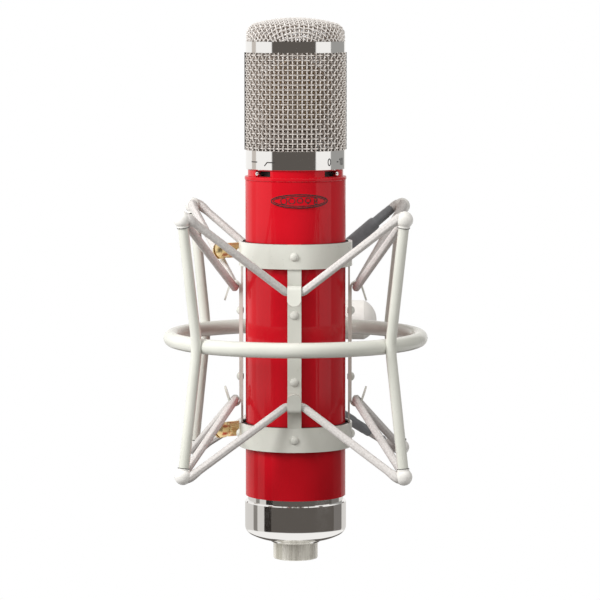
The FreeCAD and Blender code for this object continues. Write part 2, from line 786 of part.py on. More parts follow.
def make_head():
    """Base ring with its deck, mesh cylinder and liner mesh, ribs, top ring and mesh dome."""
    base = revolved("base_ring_body", [
        ("3", "neck_head"),
        ("ring_outer - 0.25", "neck_head"),
        ("ring_outer", "neck_head + 0.25"),
        ("ring_outer", "mesh_foot - 0.2"),
        ("ring_outer - 0.2", "mesh_foot"),
        ("inner_mesh_outer - 0.4", "mesh_foot"),
        ("inner_mesh_outer - 0.4", "neck_head + 2.3"),
        ("3", "neck_head + 2.3"),
    ])
    piece("base_ring", seated(base, MICROPHONE))
    side = tube("side_mesh_body", "mesh_bore", "mesh_outer", "mesh_foot", "mesh_head")
    gaps, ribs = [], []
    for azimuth in (0, 180):
        place = MICROPHONE * turned(azimuth) * shifted(x="mesh_outer", z="mesh_foot")
        gaps.append(box("rib_gap", place, "6", "rib_width + 0.1", "mesh_head - mesh_foot"))
        rib = document.addObject("Part::Common", "rib")
        rib.Base = box("rib_blank", place, "6", "rib_width", "mesh_head - mesh_foot")
        curve = tube("rib_curve", "inner_mesh_outer + 0.05", "mesh_outer", "mesh_foot", "mesh_head")
        rib.Tool = seated(curve, MICROPHONE)
        ribs.append(rib)
    piece("side_mesh", cut("side_mesh_halves", seated(side, MICROPHONE), *gaps))
    piece("basket_ribs", group("rib_pair", *ribs))
    inner = tube("inner_mesh_body", "inner_mesh_outer - 0.4", "inner_mesh_outer", "mesh_foot", "mesh_head")
    piece("inner_mesh", seated(inner, MICROPHONE))
    top = tube("top_ring_body", "inner_mesh_outer - 0.4", "ring_outer", "mesh_head", "dome_foot")
    piece("top_ring", seated(top, MICROPHONE))

    outer_bend = "dome_shoulder"
    inner_bend = "dome_shoulder - dome_gauge"
    bend_out = "dome_outer - dome_shoulder"
    crown = f"(({bend_out} + dome_shoulder * cos(dome_angle)) / cos(dome_angle))"
    bend_up = f"dome_head - {crown} * (1 - sin(dome_angle)) - dome_shoulder * sin(dome_angle)"
    dome = revolved("dome_body", [
        ("dome_outer - dome_gauge", "dome_foot"),
        ("dome_outer", "dome_foot"),
        ("dome_outer", bend_up, outer_bend, 1),
        (
            f"{bend_out} + dome_shoulder * cos(dome_angle)",
            f"{bend_up} + dome_shoulder * sin(dome_angle)",
            crown, 1,
        ),
        ("0", "dome_head"),
        ("0", "dome_head - dome_gauge", f"{crown} - dome_gauge", -1),
        (
            f"{bend_out} + ({inner_bend}) * cos(dome_angle)",
            f"{bend_up} + ({inner_bend}) * sin(dome_angle)",
            inner_bend, -1,
        ),
        ("dome_outer - dome_gauge", bend_up),
    ])
    piece("dome_mesh", seated(dome, MICROPHONE))


def make_capsule():
    """Two-sided capsule on its saddle; its axis points to the front of the microphone."""
    forward = MICROPHONE * shifted(z="capsule_height") * turned(90, X_AXIS)
    drum = revolved("capsule_drum", [
        ("0", "-capsule_depth / 2"),
        ("capsule_radius - 0.5", "-capsule_depth / 2"),
        ("capsule_radius", "0.5 - capsule_depth / 2"),
        ("capsule_radius", "capsule_depth / 2 - 0.5"),
        ("capsule_radius - 0.5", "capsule_depth / 2"),
        ("0", "capsule_depth / 2"),
    ])
    piece("capsule_body", seated(drum, forward))
    discs = []
    for name, way in (("front", forward), ("rear", forward * turned(180, X_AXIS))):
        disc = revolved(f"{name}_disc", [
            ("0", "capsule_depth / 2"),
            ("diaphragm_radius", "capsule_depth / 2"),
            ("diaphragm_radius", "capsule_depth / 2 + 0.3"),
            ("1.5", "capsule_depth / 2 + 0.3"),
            ("1.5", "capsule_depth / 2 + 1"),
            ("0", "capsule_depth / 2 + 1"),
        ])
        discs.append(seated(disc, way))
    piece("diaphragms", group("disc_pair", *discs))
    foot = MICROPHONE * shifted(z="neck_head + 2.3")
    block = box("saddle_block", foot, "16", "capsule_depth", "18")
    place = MICROPHONE * shifted(y="-10", z="capsule_height") * turned(-90, X_AXIS)
    seat = rod("saddle_seat", place, "capsule_radius", "20")
    piece("capsule_saddle", cut("saddle_cut", block, seat))


# ---------------------------------------------------------------- microphone body

def make_body_sleeve():
    """Lacquered tube with a bead and a narrower slotted neck, and the oval badge on its front."""
    shell = revolved("sleeve_shell", [
        ("tube_bore", "tube_foot"),
        ("tube_radius", "tube_foot"),
        ("tube_radius", "bead_foot - 0.15"),
        ("tube_radius - 0.15", "bead_foot"),
        ("tube_radius + 0.05", "bead_foot + 0.1"),
        ("bead_radius", "bead_foot + 0.45"),
        ("bead_radius", "neck_foot - 0.5", "0.5", 1),
        ("bead_radius - 0.5", "neck_foot"),
        ("neck_radius", "neck_foot + 0.1"),
        ("neck_radius", "neck_head"),
        ("neck_bore", "neck_head"),
        ("neck_bore", "bead_foot"),
        ("tube_bore", "bead_foot - 1.5"),
    ])
    seated(shell, MICROPHONE)
    slots = []
    for angle in ("low_cut_angle", "pad_angle"):
        place = MICROPHONE * turned(number(angle)) * FRONT * shifted(x="neck_radius - 1", z="slot_centre - slot_rise")
        slots.append(box("switch_slot", place, "6", "2 * slot_reach", "2 * slot_rise"))
    piece("body_sleeve", cut("sleeve_slotted", shell, *slots))

    edge = Part.Ellipse(Vector(), number("badge_length / 2"), number("badge_width / 2")).toShape()
    plate = solid("badge_plate", Part.Face(Part.Wire(edge)).extrude(Vector(0, 0, number("tube_radius + 2"))))
    plate.Placement = MICROPHONE * shifted(z="badge_height") * turned(90, X_AXIS)
    foot = MICROPHONE * shifted(z="badge_height - badge_width")
    skin = rod("badge_skin", foot, "tube_radius + badge_gauge", "2 * badge_width")
    core = rod("badge_core", foot, "tube_radius", "2 * badge_width")
    bent = document.addObject("Part::Common", "badge_bent")
    bent.Base = plate
    bent.Tool = cut("badge_shell", skin, core)
    piece("badge", bent)


def make_switch(name, angle, rest):
    """A slide switch behind its slot; the knob stands at one end of its travel."""
    place = MICROPHONE * turned(number(angle)) * FRONT
    case = box(f"{name}_case", place * shifted(x="switch_face - 3", z="slot_centre - 4.5"), "6", "10", "5.9")
    piece(f"{name}_switch", case)
    knob = revolved(f"{name}_pin", [
        ("0", "switch_face + running_fit"),
        ("switch_knob", "switch_face + running_fit"),
        ("switch_knob", "tube_radius - 0.6", "switch_knob", 1),
        ("0", "tube_radius + switch_knob - 0.6"),
    ])
    outward = place * shifted(y=f"{rest} * switch_travel", z="slot_centre") * turned(90, Y_AXIS)
    piece(f"{name}_knob", seated(knob, outward))


def make_electronics():
    """Two rails that tie deck and foot together, and what they carry."""
    rails = []
    for azimuth in (0, 180):
        place = MICROPHONE * turned(azimuth) * shifted(x="16", z="tube_foot + 3.6")
        rails.append(box("rail", place, "1.6", "5", "neck_head - tube_foot - 3.6"))
    piece("chassis_rails", group("rail_pair", *rails))
    piece("circuit_board", box("board", MICROPHONE * shifted(y="4.8", z="-52"), "30", "1.6", "104"))

    valve = revolved("valve_glass", [
        ("0", "0"),
        ("9", "0"),
        ("9.8", "1"),
        ("9.8", "38", "9.8", 1),
        ("4", "46.95"),
        ("1.5", "49"),
        ("0", "49"),
    ])
    piece("valve", seated(valve, MICROPHONE * shifted(y="-7.2", z="4")))
    socket = tube("socket_ring", "3", "10.4", "-4", "4")
    piece("valve_socket", seated(socket, MICROPHONE * shifted(y="-7.2")))

    place = MICROPHONE * shifted(y="-6.5", z="-50")
    core = box("transformer_core", place, "24", "14", "20")
    windings = rod("transformer_coil", place * shifted(z="-2"), "6", "24")
    piece("output_transformer", fuse("transformer", core, windings))

    cans = []
    for x, z, radius, height in (("-7", "-45", "5", "22"), ("6", "-48", "6", "28"), ("-4", "0", "4", "16"),
                                 ("8", "10", "4.5", "20"), ("-8", "28", "4", "14")):
        cans.append(rod("can", MICROPHONE * shifted(x, f"5.6 + {radius}", z), radius, height))
    piece("capacitors", group("can_set", *cans))


def make_foot():
    """Spacer ring, dished cup, and the multi-pin connector with its insert and pins."""
    spacer = revolved("spacer_body", [
        ("10", "cup_head"),
        ("spacer_radius", "cup_head"),
        ("spacer_radius", "tube_foot"),
        ("tube_bore", "tube_foot"),
        ("tube_bore", "tube_foot + 3.6"),
        ("10", "tube_foot + 3.6"),
    ])
    piece("base_spacer", seated(spacer, MICROPHONE))
    cup = revolved("cup_body", [
        ("cup_radius - 0.4", "cup_head"),
        ("cup_radius", "cup_head - 0.4"),
        ("cup_radius", "cup_edge", "4", -1),
        ("cup_radius - 4 + 4 * cos(60)", "cup_edge - 4 * sin(60)", "20", -1),
        ("shell_radius + 2.45", "cup_foot"),
        ("shell_radius + 1", "cup_foot - 1.1"),
        ("shell_radius", "cup_foot - 1.1"),
        ("shell_radius", "cup_edge - 2"),
        ("shell_radius + 3", "cup_edge - 2"),
        ("cup_radius - 5", "cup_edge - 1"),
        ("cup_radius - 1.6", "cup_edge + 2"),
        ("cup_radius - 1.6", "cup_head"),
    ])
    piece("base_cup", seated(cup, MICROPHONE))
    shell = revolved("shell_body", [
        ("shell_bore", "shell_foot"),
        ("shell_radius - 0.3", "shell_foot"),
        ("shell_radius", "shell_foot + 0.4"),
        ("shell_radius", "cup_edge - 2"),
        ("shell_radius + 2", "cup_edge - 1.9"),
        ("shell_radius + 2", "cup_edge"),
        ("shell_bore", "cup_edge"),
    ])
    piece("connector_shell", seated(shell, MICROPHONE))
    pins, holes = [], []
    for index in range(7):
        spread = "0" if index == 6 else "5.2"
        place = MICROPHONE * turned(60 * index + 30) * shifted(x=spread, z="pin_foot")
        pins.append(rod("pin", place, "1", "-pin_foot - 78"))
        holes.append(rod("pin_hole", place, "1", "-pin_foot - 78"))
    disc = rod("insert_disc", MICROPHONE * shifted(z="insert_foot"), "shell_bore", "4")
    piece("connector_insert", cut("insert_drilled", disc, *holes))
    piece("connector_pins", group("pin_set", *pins))


# ---------------------------------------------------------------- build, check and write

def build():
    make_stand_adapter()
    make_frame()
    make_tilt_joint()
    make_elastics()
    make_band("upper_band", "band_station")
    make_band("lower_band", "-band_station")
    for side, azimuth in SIDES.items():
        make_strap(f"strap_{side}", azimuth)
        make_hook_strip(f"hook_strip_{side}", azimuth)
    make_rivets()
    make_liners()
    make_clamps()
    make_head()
    make_capsule()
    make_body_sleeve()
    make_switch("low_cut", "low_cut_angle", "-1")
    make_switch("pad", "pad_angle", "1")
    make_electronics()
    make_foot()
    document.recompute()


def check():
    """Stop if any feature failed, or any sub-part is empty or not valid."""
    faults = [item.Name for item in document.Objects if {"Invalid", "Error"} & set(item.State)]
    for item in finished:
        if item.Shape.isNull() or not item.Shape.isValid() or not item.Shape.Solids:
            faults.append(item.Label)
    if faults:
        raise RuntimeError(f"failed: {faults}")


def write():
    os.makedirs("parts", exist_ok=True)
    for item in finished:
        item.Shape.exportStep(f"parts/{item.Label}.step")
    print(f"{len(finished)} sub-parts")


build()
check()
write()
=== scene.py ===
import math

import bpy
import numpy as np
from mathutils import Matrix, Vector


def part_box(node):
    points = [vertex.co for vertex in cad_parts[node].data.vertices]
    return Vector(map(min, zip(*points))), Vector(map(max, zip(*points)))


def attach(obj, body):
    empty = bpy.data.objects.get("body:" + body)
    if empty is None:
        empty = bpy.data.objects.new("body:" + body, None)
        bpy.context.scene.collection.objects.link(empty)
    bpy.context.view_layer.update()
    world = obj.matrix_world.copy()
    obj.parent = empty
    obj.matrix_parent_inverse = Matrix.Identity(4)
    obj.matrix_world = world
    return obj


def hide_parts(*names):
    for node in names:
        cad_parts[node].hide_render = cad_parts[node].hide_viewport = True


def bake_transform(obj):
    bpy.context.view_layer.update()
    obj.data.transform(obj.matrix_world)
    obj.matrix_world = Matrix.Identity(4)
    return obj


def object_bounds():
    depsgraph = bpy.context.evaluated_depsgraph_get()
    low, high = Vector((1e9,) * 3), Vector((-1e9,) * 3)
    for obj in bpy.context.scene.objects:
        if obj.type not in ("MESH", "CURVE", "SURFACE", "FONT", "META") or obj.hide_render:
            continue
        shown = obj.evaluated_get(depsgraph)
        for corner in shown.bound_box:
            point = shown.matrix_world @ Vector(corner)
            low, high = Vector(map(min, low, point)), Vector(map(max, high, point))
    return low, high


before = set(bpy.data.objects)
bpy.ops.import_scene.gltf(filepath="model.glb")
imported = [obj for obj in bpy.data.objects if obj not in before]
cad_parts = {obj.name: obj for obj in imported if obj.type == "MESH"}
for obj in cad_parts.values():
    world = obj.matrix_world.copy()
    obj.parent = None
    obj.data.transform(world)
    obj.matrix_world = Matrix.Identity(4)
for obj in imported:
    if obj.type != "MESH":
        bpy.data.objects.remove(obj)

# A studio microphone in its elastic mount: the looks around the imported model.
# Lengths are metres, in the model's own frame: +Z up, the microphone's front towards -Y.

CAD_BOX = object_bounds()
MM = 0.001


def middle(node):
    low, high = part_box(node)
    return (low + high) / 2


AXIS = middle("support_ring")
CRADLE = (middle("upper_band") + middle("lower_band")) / 2
MIC_TURN = math.radians(6)
MIC_FRAME = Matrix.Translation(AXIS) @ Matrix.Rotation(MIC_TURN, 4, "Z")


# ---------------------------------------------------------------- mesh making

def add_mesh(name, vertices, faces, smooth=True):
    """A new object from an array of points and a list or array of faces."""
    mesh = bpy.data.meshes.new(name)
    mesh.from_pydata(np.asarray(vertices, float).tolist(), [], np.asarray(faces).tolist())
    mesh.validate()
    mesh.polygons.foreach_set("use_smooth", [smooth] * len(mesh.polygons))
    mesh.update()
    item = bpy.data.objects.new(name, mesh)
    bpy.context.scene.collection.objects.link(item)
    return item


def grid_faces(rows, columns, close_rows, close_columns):
    """Quads between neighbouring rows and columns of a grid of points, numbered row by row."""
    row = np.arange(rows if close_rows else rows - 1)
    column = np.arange(columns if close_columns else columns - 1)
    a, b = np.meshgrid(row, column, indexing="ij")
    a, b = a.ravel(), b.ravel()
    after, beside = (a + 1) % rows, (b + 1) % columns
    corners = [a * columns + b, a * columns + beside, after * columns + beside, after * columns + b]
    return np.stack(corners, axis=1)


def unit(vectors):
    return vectors / np.linalg.norm(vectors, axis=-1, keepdims=True)


def tangents(path, closed):
    """Directions along a path of points."""
    if closed:
        return unit(np.roll(path, -1, axis=0) - np.roll(path, 1, axis=0))
    return unit(np.gradient(path, axis=0))


def carried_frames(path, closed):
    """Two directions across a path at each point, carried along it without twist."""
    along = tangents(path, closed)
    start = np.cross(along[0], (0, 0, 1))
    if np.linalg.norm(start) < 0.1:
        start = np.cross(along[0], (1, 0, 0))
    side = [start / np.linalg.norm(start)]
    for direction in along[1:]:
        flat = side[-1] - direction * np.dot(side[-1], direction)
        side.append(flat / np.linalg.norm(flat))
    side = np.array(side)
    up = np.cross(along, side)
    if closed:
        last = side[-1] - along[0] * np.dot(side[-1], along[0])
        drift = math.atan2(np.dot(np.cross(last, side[0]), along[0]), np.dot(last, side[0]))
        turn = np.linspace(0, drift, len(path), endpoint=False)[:, None]
        side, up = side * np.cos(turn) + up * np.sin(turn), up * np.cos(turn) - side * np.sin(turn)
    return side, up


def tube_grid(path, closed, radius, sides):
    """Points of a tube round a path; radius is a number or an array of rows by sides."""
    side, up = carried_frames(path, closed)
    angle = np.linspace(0, 2 * math.pi, sides, endpoint=False)
    reach = np.broadcast_to(radius, (len(path), sides))
    ring = side[:, None, :] * np.cos(angle)[None, :, None] + up[:, None, :] * np.sin(angle)[None, :, None]
    return path[:, None, :] + ring * reach[:, :, None]


def join_tubes(name, tubes):
    """One object from several tubes, each given as (grid of points, closed). Open tubes get end caps."""
    vertices, faces, count = [], [], 0
    for grid, closed in tubes:
        rows, sides = grid.shape[:2]
        vertices.append(grid.reshape(-1, 3))
        faces += (grid_faces(rows, sides, closed, True) + count).tolist()
        if not closed:
            faces.append((np.arange(sides)[::-1] + count).tolist())
            faces.append((np.arange(sides) + count + (rows - 1) * sides).tolist())
        count += rows * sides
    mesh = bpy.data.meshes.new(name)
    mesh.from_pydata(np.concatenate(vertices).tolist(), [], faces)
    mesh.validate()
    mesh.polygons.foreach_set("use_smooth", [len(face) == 4 for face in faces])
    mesh.update()
    item = bpy.data.objects.new(name, mesh)
    bpy.context.scene.collection.objects.link(item)
    return item


def lathe(name, profile, sides, place=Matrix.Identity(4), ripple=None):
    """A turned solid about Z from (radius, height) points; ripple(radius, angle, height) may cut its skin."""
    profile = np.asarray(profile, float)
    angle = np.linspace(0, 2 * math.pi, sides, endpoint=False)
    radius = np.repeat(profile[:, :1], sides, axis=1)
    height = np.repeat(profile[:, 1:], sides, axis=1)
    if ripple:
        radius = ripple(radius, angle[None, :], height)
    grid = np.stack([radius * np.cos(angle), radius * np.sin(angle), height], axis=-1)
    item = join_tubes(name, [(grid, False)])
    item.data.transform(place)
    return item


def resampled(path, step, closed):
    """Evenly spaced points along a path."""
    points = np.vstack([path, path[:1]]) if closed else path
    length = np.concatenate([[0], np.cumsum(np.linalg.norm(np.diff(points, axis=0), axis=1))])
    count = max(2, round(length[-1] / step))
    at = np.linspace(0, length[-1], count + (0 if closed else 1), endpoint=not closed)
    return np.stack([np.interp(at, length, points[:, k]) for k in range(3)], axis=1), length[-1]


def applied(item):
    """Makes an object's modifiers part of its mesh."""
    mesh = bpy.data.meshes.new_from_object(item.evaluated_get(bpy.context.evaluated_depsgraph_get()))
    item.modifiers.clear()
    item.data = mesh
    return item


# ---------------------------------------------------------------- materials

class Finish:
    """A Principled material, and short ways to add procedural detail to it."""

    def __init__(self, name, colour, roughness, metallic=0.0, **sockets):
        self.material = bpy.data.materials.new(name)
        self.material.use_nodes = True
        tree = self.material.node_tree
        self.nodes, self.links = tree.nodes, tree.links
        self.shader = self.nodes["Principled BSDF"]
        self.place = self.nodes.new("ShaderNodeTexCoord").outputs["Object"]
        self.shader.inputs["Base Color"].default_value = (*colour, 1)
        self.shader.inputs["Roughness"].default_value = roughness
        self.shader.inputs["Metallic"].default_value = metallic
        for socket, value in sockets.items():
            self.shader.inputs[socket.replace("_", " ").title().replace("Ior", "IOR")].default_value = value

    def noise(self, size, detail=3.0, stretch=(1, 1, 1)):
        """Noise whose features are about size metres; stretch draws them out along an axis."""
        mapping = self.nodes.new("ShaderNodeMapping")
        mapping.inputs["Scale"].default_value = [1 / (size * s) for s in stretch]
        self.links.new(self.place, mapping.inputs["Vector"])
        node = self.nodes.new("ShaderNodeTexNoise")
        node.inputs["Scale"].default_value = 1.0
        node.inputs["Detail"].default_value = detail
        self.links.new(mapping.outputs["Vector"], node.inputs["Vector"])
        return node.outputs["Fac"]

    def grains(self, size):
        """Small separate cells about size metres across."""
        node = self.nodes.new("ShaderNodeTexVoronoi")
        node.inputs["Scale"].default_value = 1 / size
        self.links.new(self.place, node.inputs["Vector"])
        return node.outputs["Distance"]

    def ramp(self, value, *stops):
        """Colours or numbers against a value."""
        node = self.nodes.new("ShaderNodeValToRGB")
        elements = node.color_ramp.elements
        for index, (position, colour) in enumerate(stops):
            element = elements[index] if index < 2 else elements.new(position)
            element.position = position
            element.color = (*colour, 1) if hasattr(colour, "__len__") else (colour, colour, colour, 1)
        self.links.new(value, node.inputs["Fac"])
        return node.outputs["Color"]

    def colour(self, value, *stops):
        self.links.new(self.ramp(value, *stops), self.shader.inputs["Base Color"])
        return self

    def rough(self, value, low, high):
        node = self.nodes.new("ShaderNodeMapRange")
        node.inputs["From Min"].default_value = 0.3
        node.inputs["From Max"].default_value = 0.7
        node.inputs["To Min"].default_value = low
        node.inputs["To Max"].default_value = high
        self.links.new(value, node.inputs["Value"])
        self.links.new(node.outputs["Result"], self.shader.inputs["Roughness"])
        return self

    def bump(self, value, depth, strength=1.0):
        node = self.nodes.new("ShaderNodeBump")
        node.inputs["Strength"].default_value = strength
        node.inputs["Distance"].default_value = depth
        self.links.new(value, node.inputs["Height"])
        self.links.new(node.outputs["Normal"], self.shader.inputs["Normal"])
        return self


def chrome():
    finish = Finish("chrome", (0.86, 0.855, 0.85), 0.05, 1.0)
    finish.rough(finish.noise(0.006, 5), 0.03, 0.085)
    return finish.bump(finish.noise(0.011, 2), 0.00002, 0.25)


def mesh_steel():
    finish = Finish("mesh_steel", (0.9, 0.86, 0.83), 0.22, 0.88)
    finish.colour(finish.noise(0.004, 4), (0.3, (0.80, 0.755, 0.72)), (0.7, (0.96, 0.92, 0.885)))
    return finish.rough(finish.noise(0.0015, 3), 0.14, 0.27)


def dome_steel():
    finish = Finish("dome_steel", (0.9, 0.87, 0.84), 0.25, 0.7)
    finish.colour(finish.noise(0.004, 4), (0.3, (0.88, 0.84, 0.81)), (0.7, (1.0, 0.97, 0.94)))
    return finish.rough(finish.noise(0.0015, 3), 0.2, 0.34)


def liner_steel():
    finish = Finish("liner_steel", (0.5, 0.43, 0.38), 0.5, 0.2)
    return finish.colour(finish.noise(0.003, 3), (0.3, (0.45, 0.385, 0.34)), (0.7, (0.60, 0.52, 0.46)))


def rib_steel():
    finish = Finish("rib_steel", (0.08, 0.076, 0.072), 0.6, 0.0, specular_ior_level=0.1)
    return finish.colour(finish.noise(0.004, 3), (0.3, (0.065, 0.062, 0.058)), (0.7, (0.10, 0.096, 0.09)))


def saddle_plastic():
    finish = Finish("saddle_plastic", (0.13, 0.105, 0.09), 0.6)
    return finish.colour(finish.noise(0.003, 3), (0.3, (0.11, 0.09, 0.075)), (0.7, (0.16, 0.13, 0.11)))


def red_lacquer():
    finish = Finish("red_lacquer", (0.52, 0.004, 0.012), 0.5, 0.0, coat_weight=0.5, coat_roughness=0.03,
                    specular_ior_level=0.05)
    finish.colour(finish.noise(0.03, 3), (0.35, (0.50, 0.0033, 0.011)), (0.65, (0.56, 0.0055, 0.015)))
    return finish.bump(finish.noise(0.0025, 2), 0.00001, 0.12)


def frame_paint():
    finish = Finish("frame_paint", (0.66, 0.67, 0.615), 0.34, 0.0, coat_weight=0.5, coat_roughness=0.12)
    finish.colour(finish.noise(0.02, 4), (0.35, (0.635, 0.65, 0.59)), (0.65, (0.69, 0.70, 0.645)))
    finish.rough(finish.noise(0.002, 4), 0.26, 0.42)
    return finish.bump(finish.grains(0.00035), 0.00003, 0.35)


def cap_enamel():
    finish = Finish("cap_enamel", (0.78, 0.775, 0.74), 0.2, 0.0, coat_weight=0.6, coat_roughness=0.08)
    finish.colour(finish.noise(0.008, 4), (0.35, (0.75, 0.745, 0.71)), (0.65, (0.82, 0.815, 0.79)))
    return finish.rough(finish.noise(0.002, 4), 0.15, 0.28)


def rivet_steel():
    finish = Finish("rivet_steel", (0.62, 0.63, 0.58), 0.34, 0.0, coat_weight=0.4, coat_roughness=0.15)
    finish.colour(finish.noise(0.003, 4), (0.35, (0.58, 0.59, 0.54)), (0.65, (0.68, 0.685, 0.635)))
    return finish.rough(finish.noise(0.0012, 4), 0.26, 0.42)


def adapter_paint():
    finish = Finish("adapter_paint", (0.6, 0.575, 0.53), 0.42, 0.0)
    finish.colour(finish.noise(0.015, 4), (0.35, (0.58, 0.555, 0.51)), (0.65, (0.66, 0.635, 0.59)))
    return finish.bump(finish.grains(0.0004), 0.00004, 0.4)


def knob_plastic():
    finish = Finish("knob_plastic", (0.93, 0.92, 0.88), 0.5, 0.0, specular_ior_level=0.2)
    finish.colour(finish.noise(0.01, 3), (0.35, (0.90, 0.89, 0.85)), (0.65, (0.95, 0.94, 0.91)))
    return finish.rough(finish.noise(0.003, 4), 0.42, 0.58)


def brass():
    finish = Finish("brass", (0.84, 0.62, 0.28), 0.2, 1.0)
    finish.colour(finish.noise(0.004, 4), (0.25, (0.62, 0.42, 0.18)), (0.6, (0.90, 0.70, 0.37)))
    return finish.rough(finish.noise(0.001, 4), 0.27, 0.4)


def fibre():
    finish = Finish("fibre", (0.3, 0.12, 0.06), 0.75)
    return finish.colour(finish.noise(0.0008, 5), (0.3, (0.22, 0.08, 0.04)), (0.7, (0.36, 0.15, 0.08)))


def elastic_braid():
    finish = Finish("elastic_braid", (0.62, 0.60, 0.58), 0.75, 0.0, sheen_weight=0.3, sheen_roughness=0.45)
    finish.colour(finish.noise(0.0009, 3), (0.3, (0.55, 0.53, 0.515)), (0.7, (0.70, 0.685, 0.67)))
    return finish.bump(finish.noise(0.00022, 2), 0.00003, 0.35)


def sleeve_rubber():
    finish = Finish("sleeve_rubber", (0.15, 0.158, 0.168), 0.5)
    finish.colour(finish.noise(0.003, 4), (0.3, (0.15, 0.159, 0.17)), (0.7, (0.19, 0.201, 0.215)))
    return finish.rough(finish.noise(0.0015, 3), 0.35, 0.55)


def liner_rubber():
    finish = Finish("liner_rubber", (0.03, 0.03, 0.03), 0.7)
    return finish.colour(finish.noise(0.002, 4), (0.3, (0.022, 0.022, 0.022)), (0.7, (0.045, 0.045, 0.045)))


def capsule_brass():
    finish = Finish("capsule_brass", (0.7, 0.5, 0.26), 0.3, 1.0)
    finish.colour(finish.noise(0.006, 4), (0.3, (0.60, 0.41, 0.20)), (0.7, (0.78, 0.58, 0.33)))
    return finish.rough(finish.noise(0.002, 3), 0.22, 0.4)


def diaphragm_gold():
    finish = Finish("diaphragm_gold", (0.9, 0.66, 0.28), 0.16, 1.0)
    finish.rough(finish.noise(0.004, 3), 0.1, 0.24)
    return finish.bump(finish.noise(0.006, 2), 0.00005, 0.3)


def black_plastic():
    finish = Finish("black_plastic", (0.012, 0.012, 0.012), 0.5)
    finish.colour(finish.noise(0.002, 3), (0.3, (0.008, 0.008, 0.008)), (0.7, (0.018, 0.018, 0.018)))
    return finish.bump(finish.grains(0.0005), 0.00002, 0.3)


def badge_metal():
    finish = Finish("badge_metal", (0.03, 0.025, 0.025), 0.4, 0.3, specular_ior_level=0.3)
    finish.colour(finish.noise(0.0012, 4), (0.3, (0.02, 0.017, 0.018)), (0.7, (0.06, 0.052, 0.052)))
    return finish.rough(finish.noise(0.0008, 3), 0.3, 0.5)


def valve_glass():
    finish = Finish("valve_glass", (0.75, 0.78, 0.78), 0.05, 0.0, transmission_weight=0.85, ior=1.5)
    return finish.rough(finish.noise(0.004, 3), 0.03, 0.1)


def transformer_iron():
    finish = Finish("transformer_iron", (0.12, 0.12, 0.13), 0.5, 0.7)
    plates = finish.noise(0.002, 4, (6, 6, 0.2))
    return finish.colour(plates, (0.3, (0.08, 0.08, 0.09)), (0.7, (0.2, 0.2, 0.21)))


def capacitor_case():
    finish = Finish("capacitor_case", (0.55, 0.35, 0.06), 0.4)
    return finish.colour(finish.noise(0.004, 3), (0.35, (0.45, 0.28, 0.04)), (0.65, (0.6, 0.4, 0.08)))


def board_laminate():
    finish = Finish("board_laminate", (0.02, 0.16, 0.07), 0.45)
    return finish.colour(finish.noise(0.002, 4), (0.35, (0.015, 0.12, 0.05)), (0.65, (0.03, 0.2, 0.09)))


def connector_nickel():
    finish = Finish("connector_nickel", (0.7, 0.69, 0.62), 0.3, 0.4)
    streaks = finish.noise(0.0035, 3, (1, 1, 40))
    finish.colour(streaks, (0.35, (0.60, 0.585, 0.51)), (0.62, (0.98, 0.965, 0.89)))
    return finish.rough(finish.noise(0.0008, 4, (1, 1, 12)), 0.22, 0.36)


def print_ink():
    finish = Finish("print_ink", (0.03, 0.028, 0.027), 0.5)
    return finish.colour(finish.noise(0.0006, 3), (0.3, (0.02, 0.018, 0.018)), (0.7, (0.05, 0.047, 0.046)))


FINISHES = {
    frame_paint: ("frame_paint", [
        "support_ring", "post_front_left", "post_front_right", "post_rear_left", "post_rear_right",
        "ring_bracket", "upper_band", "lower_band", "strap_front",
        "strap_left", "strap_right", "strap_rear", "hook_strip_front", "hook_strip_left",
        "hook_strip_right", "hook_strip_rear",
    ]),
    cap_enamel: ("frame_paint", ["upper_ball_caps", "lower_ball_caps"]),
    rivet_steel: ("rivet_steel", ["rivets", "tilt_bolt", "clamp_nuts"]),
    adapter_paint: ("adapter_paint", ["stand_adapter"]),
    knob_plastic: ("knob_plastic", ["tilt_knob"]),
    brass: ("brass", ["upper_thumbscrew", "lower_thumbscrew", "thread_insert", "connector_pins"]),
    fibre: ("fibre", ["friction_washers"]),
    elastic_braid: ("elastic", ["upper_elastic", "lower_elastic"]),
    sleeve_rubber: ("sleeve_rubber", ["upper_sleeve", "lower_sleeve"]),
    liner_rubber: ("liner_rubber", ["band_liners"]),
    red_lacquer: ("red_lacquer", ["body_sleeve", "badge"]),
    chrome: ("chrome", [
        "base_ring", "top_ring", "base_spacer", "base_cup", "low_cut_knob", "pad_knob",
        "chassis_rails",
    ]),
    mesh_steel: ("mesh_steel", ["side_mesh"]),
    dome_steel: ("mesh_steel", ["dome_mesh"]),
    liner_steel: ("mesh_steel", ["inner_mesh"]),
    rib_steel: ("mesh_steel", ["basket_ribs"]),
    saddle_plastic: ("black_plastic", ["capsule_saddle"]),
    capsule_brass: ("capsule_brass", ["capsule_body"]),
    diaphragm_gold: ("diaphragm_gold", ["diaphragms"]),
    black_plastic: ("black_plastic", [
        "low_cut_switch", "pad_switch", "valve_socket", "connector_insert",
    ]),
    badge_metal: ("badge_metal", []),
    valve_glass: ("valve_glass", ["valve"]),
    transformer_iron: ("transformer_iron", ["output_transformer"]),
    capacitor_case: ("capacitor_case", ["capacitors"]),
    board_laminate: ("black_plastic", ["circuit_board"]),
    connector_nickel: ("connector_nickel", ["connector_shell"]),
    print_ink: ("black_plastic", []),
}
MATERIALS = {}


def paint(item, finish):
    """Gives an object one material, made once for each finish."""
    if finish not in MATERIALS:
        MATERIALS[finish] = finish().material
    if not item.material_slots:
        item.data.materials.append(MATERIALS[finish])
    for slot in item.material_slots:
        slot.material = MATERIALS[finish]
    return item


def paint_nodes():
    for finish, (_, nodes) in FINISHES.items():
        for node in nodes:
            paint(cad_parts[node], finish)


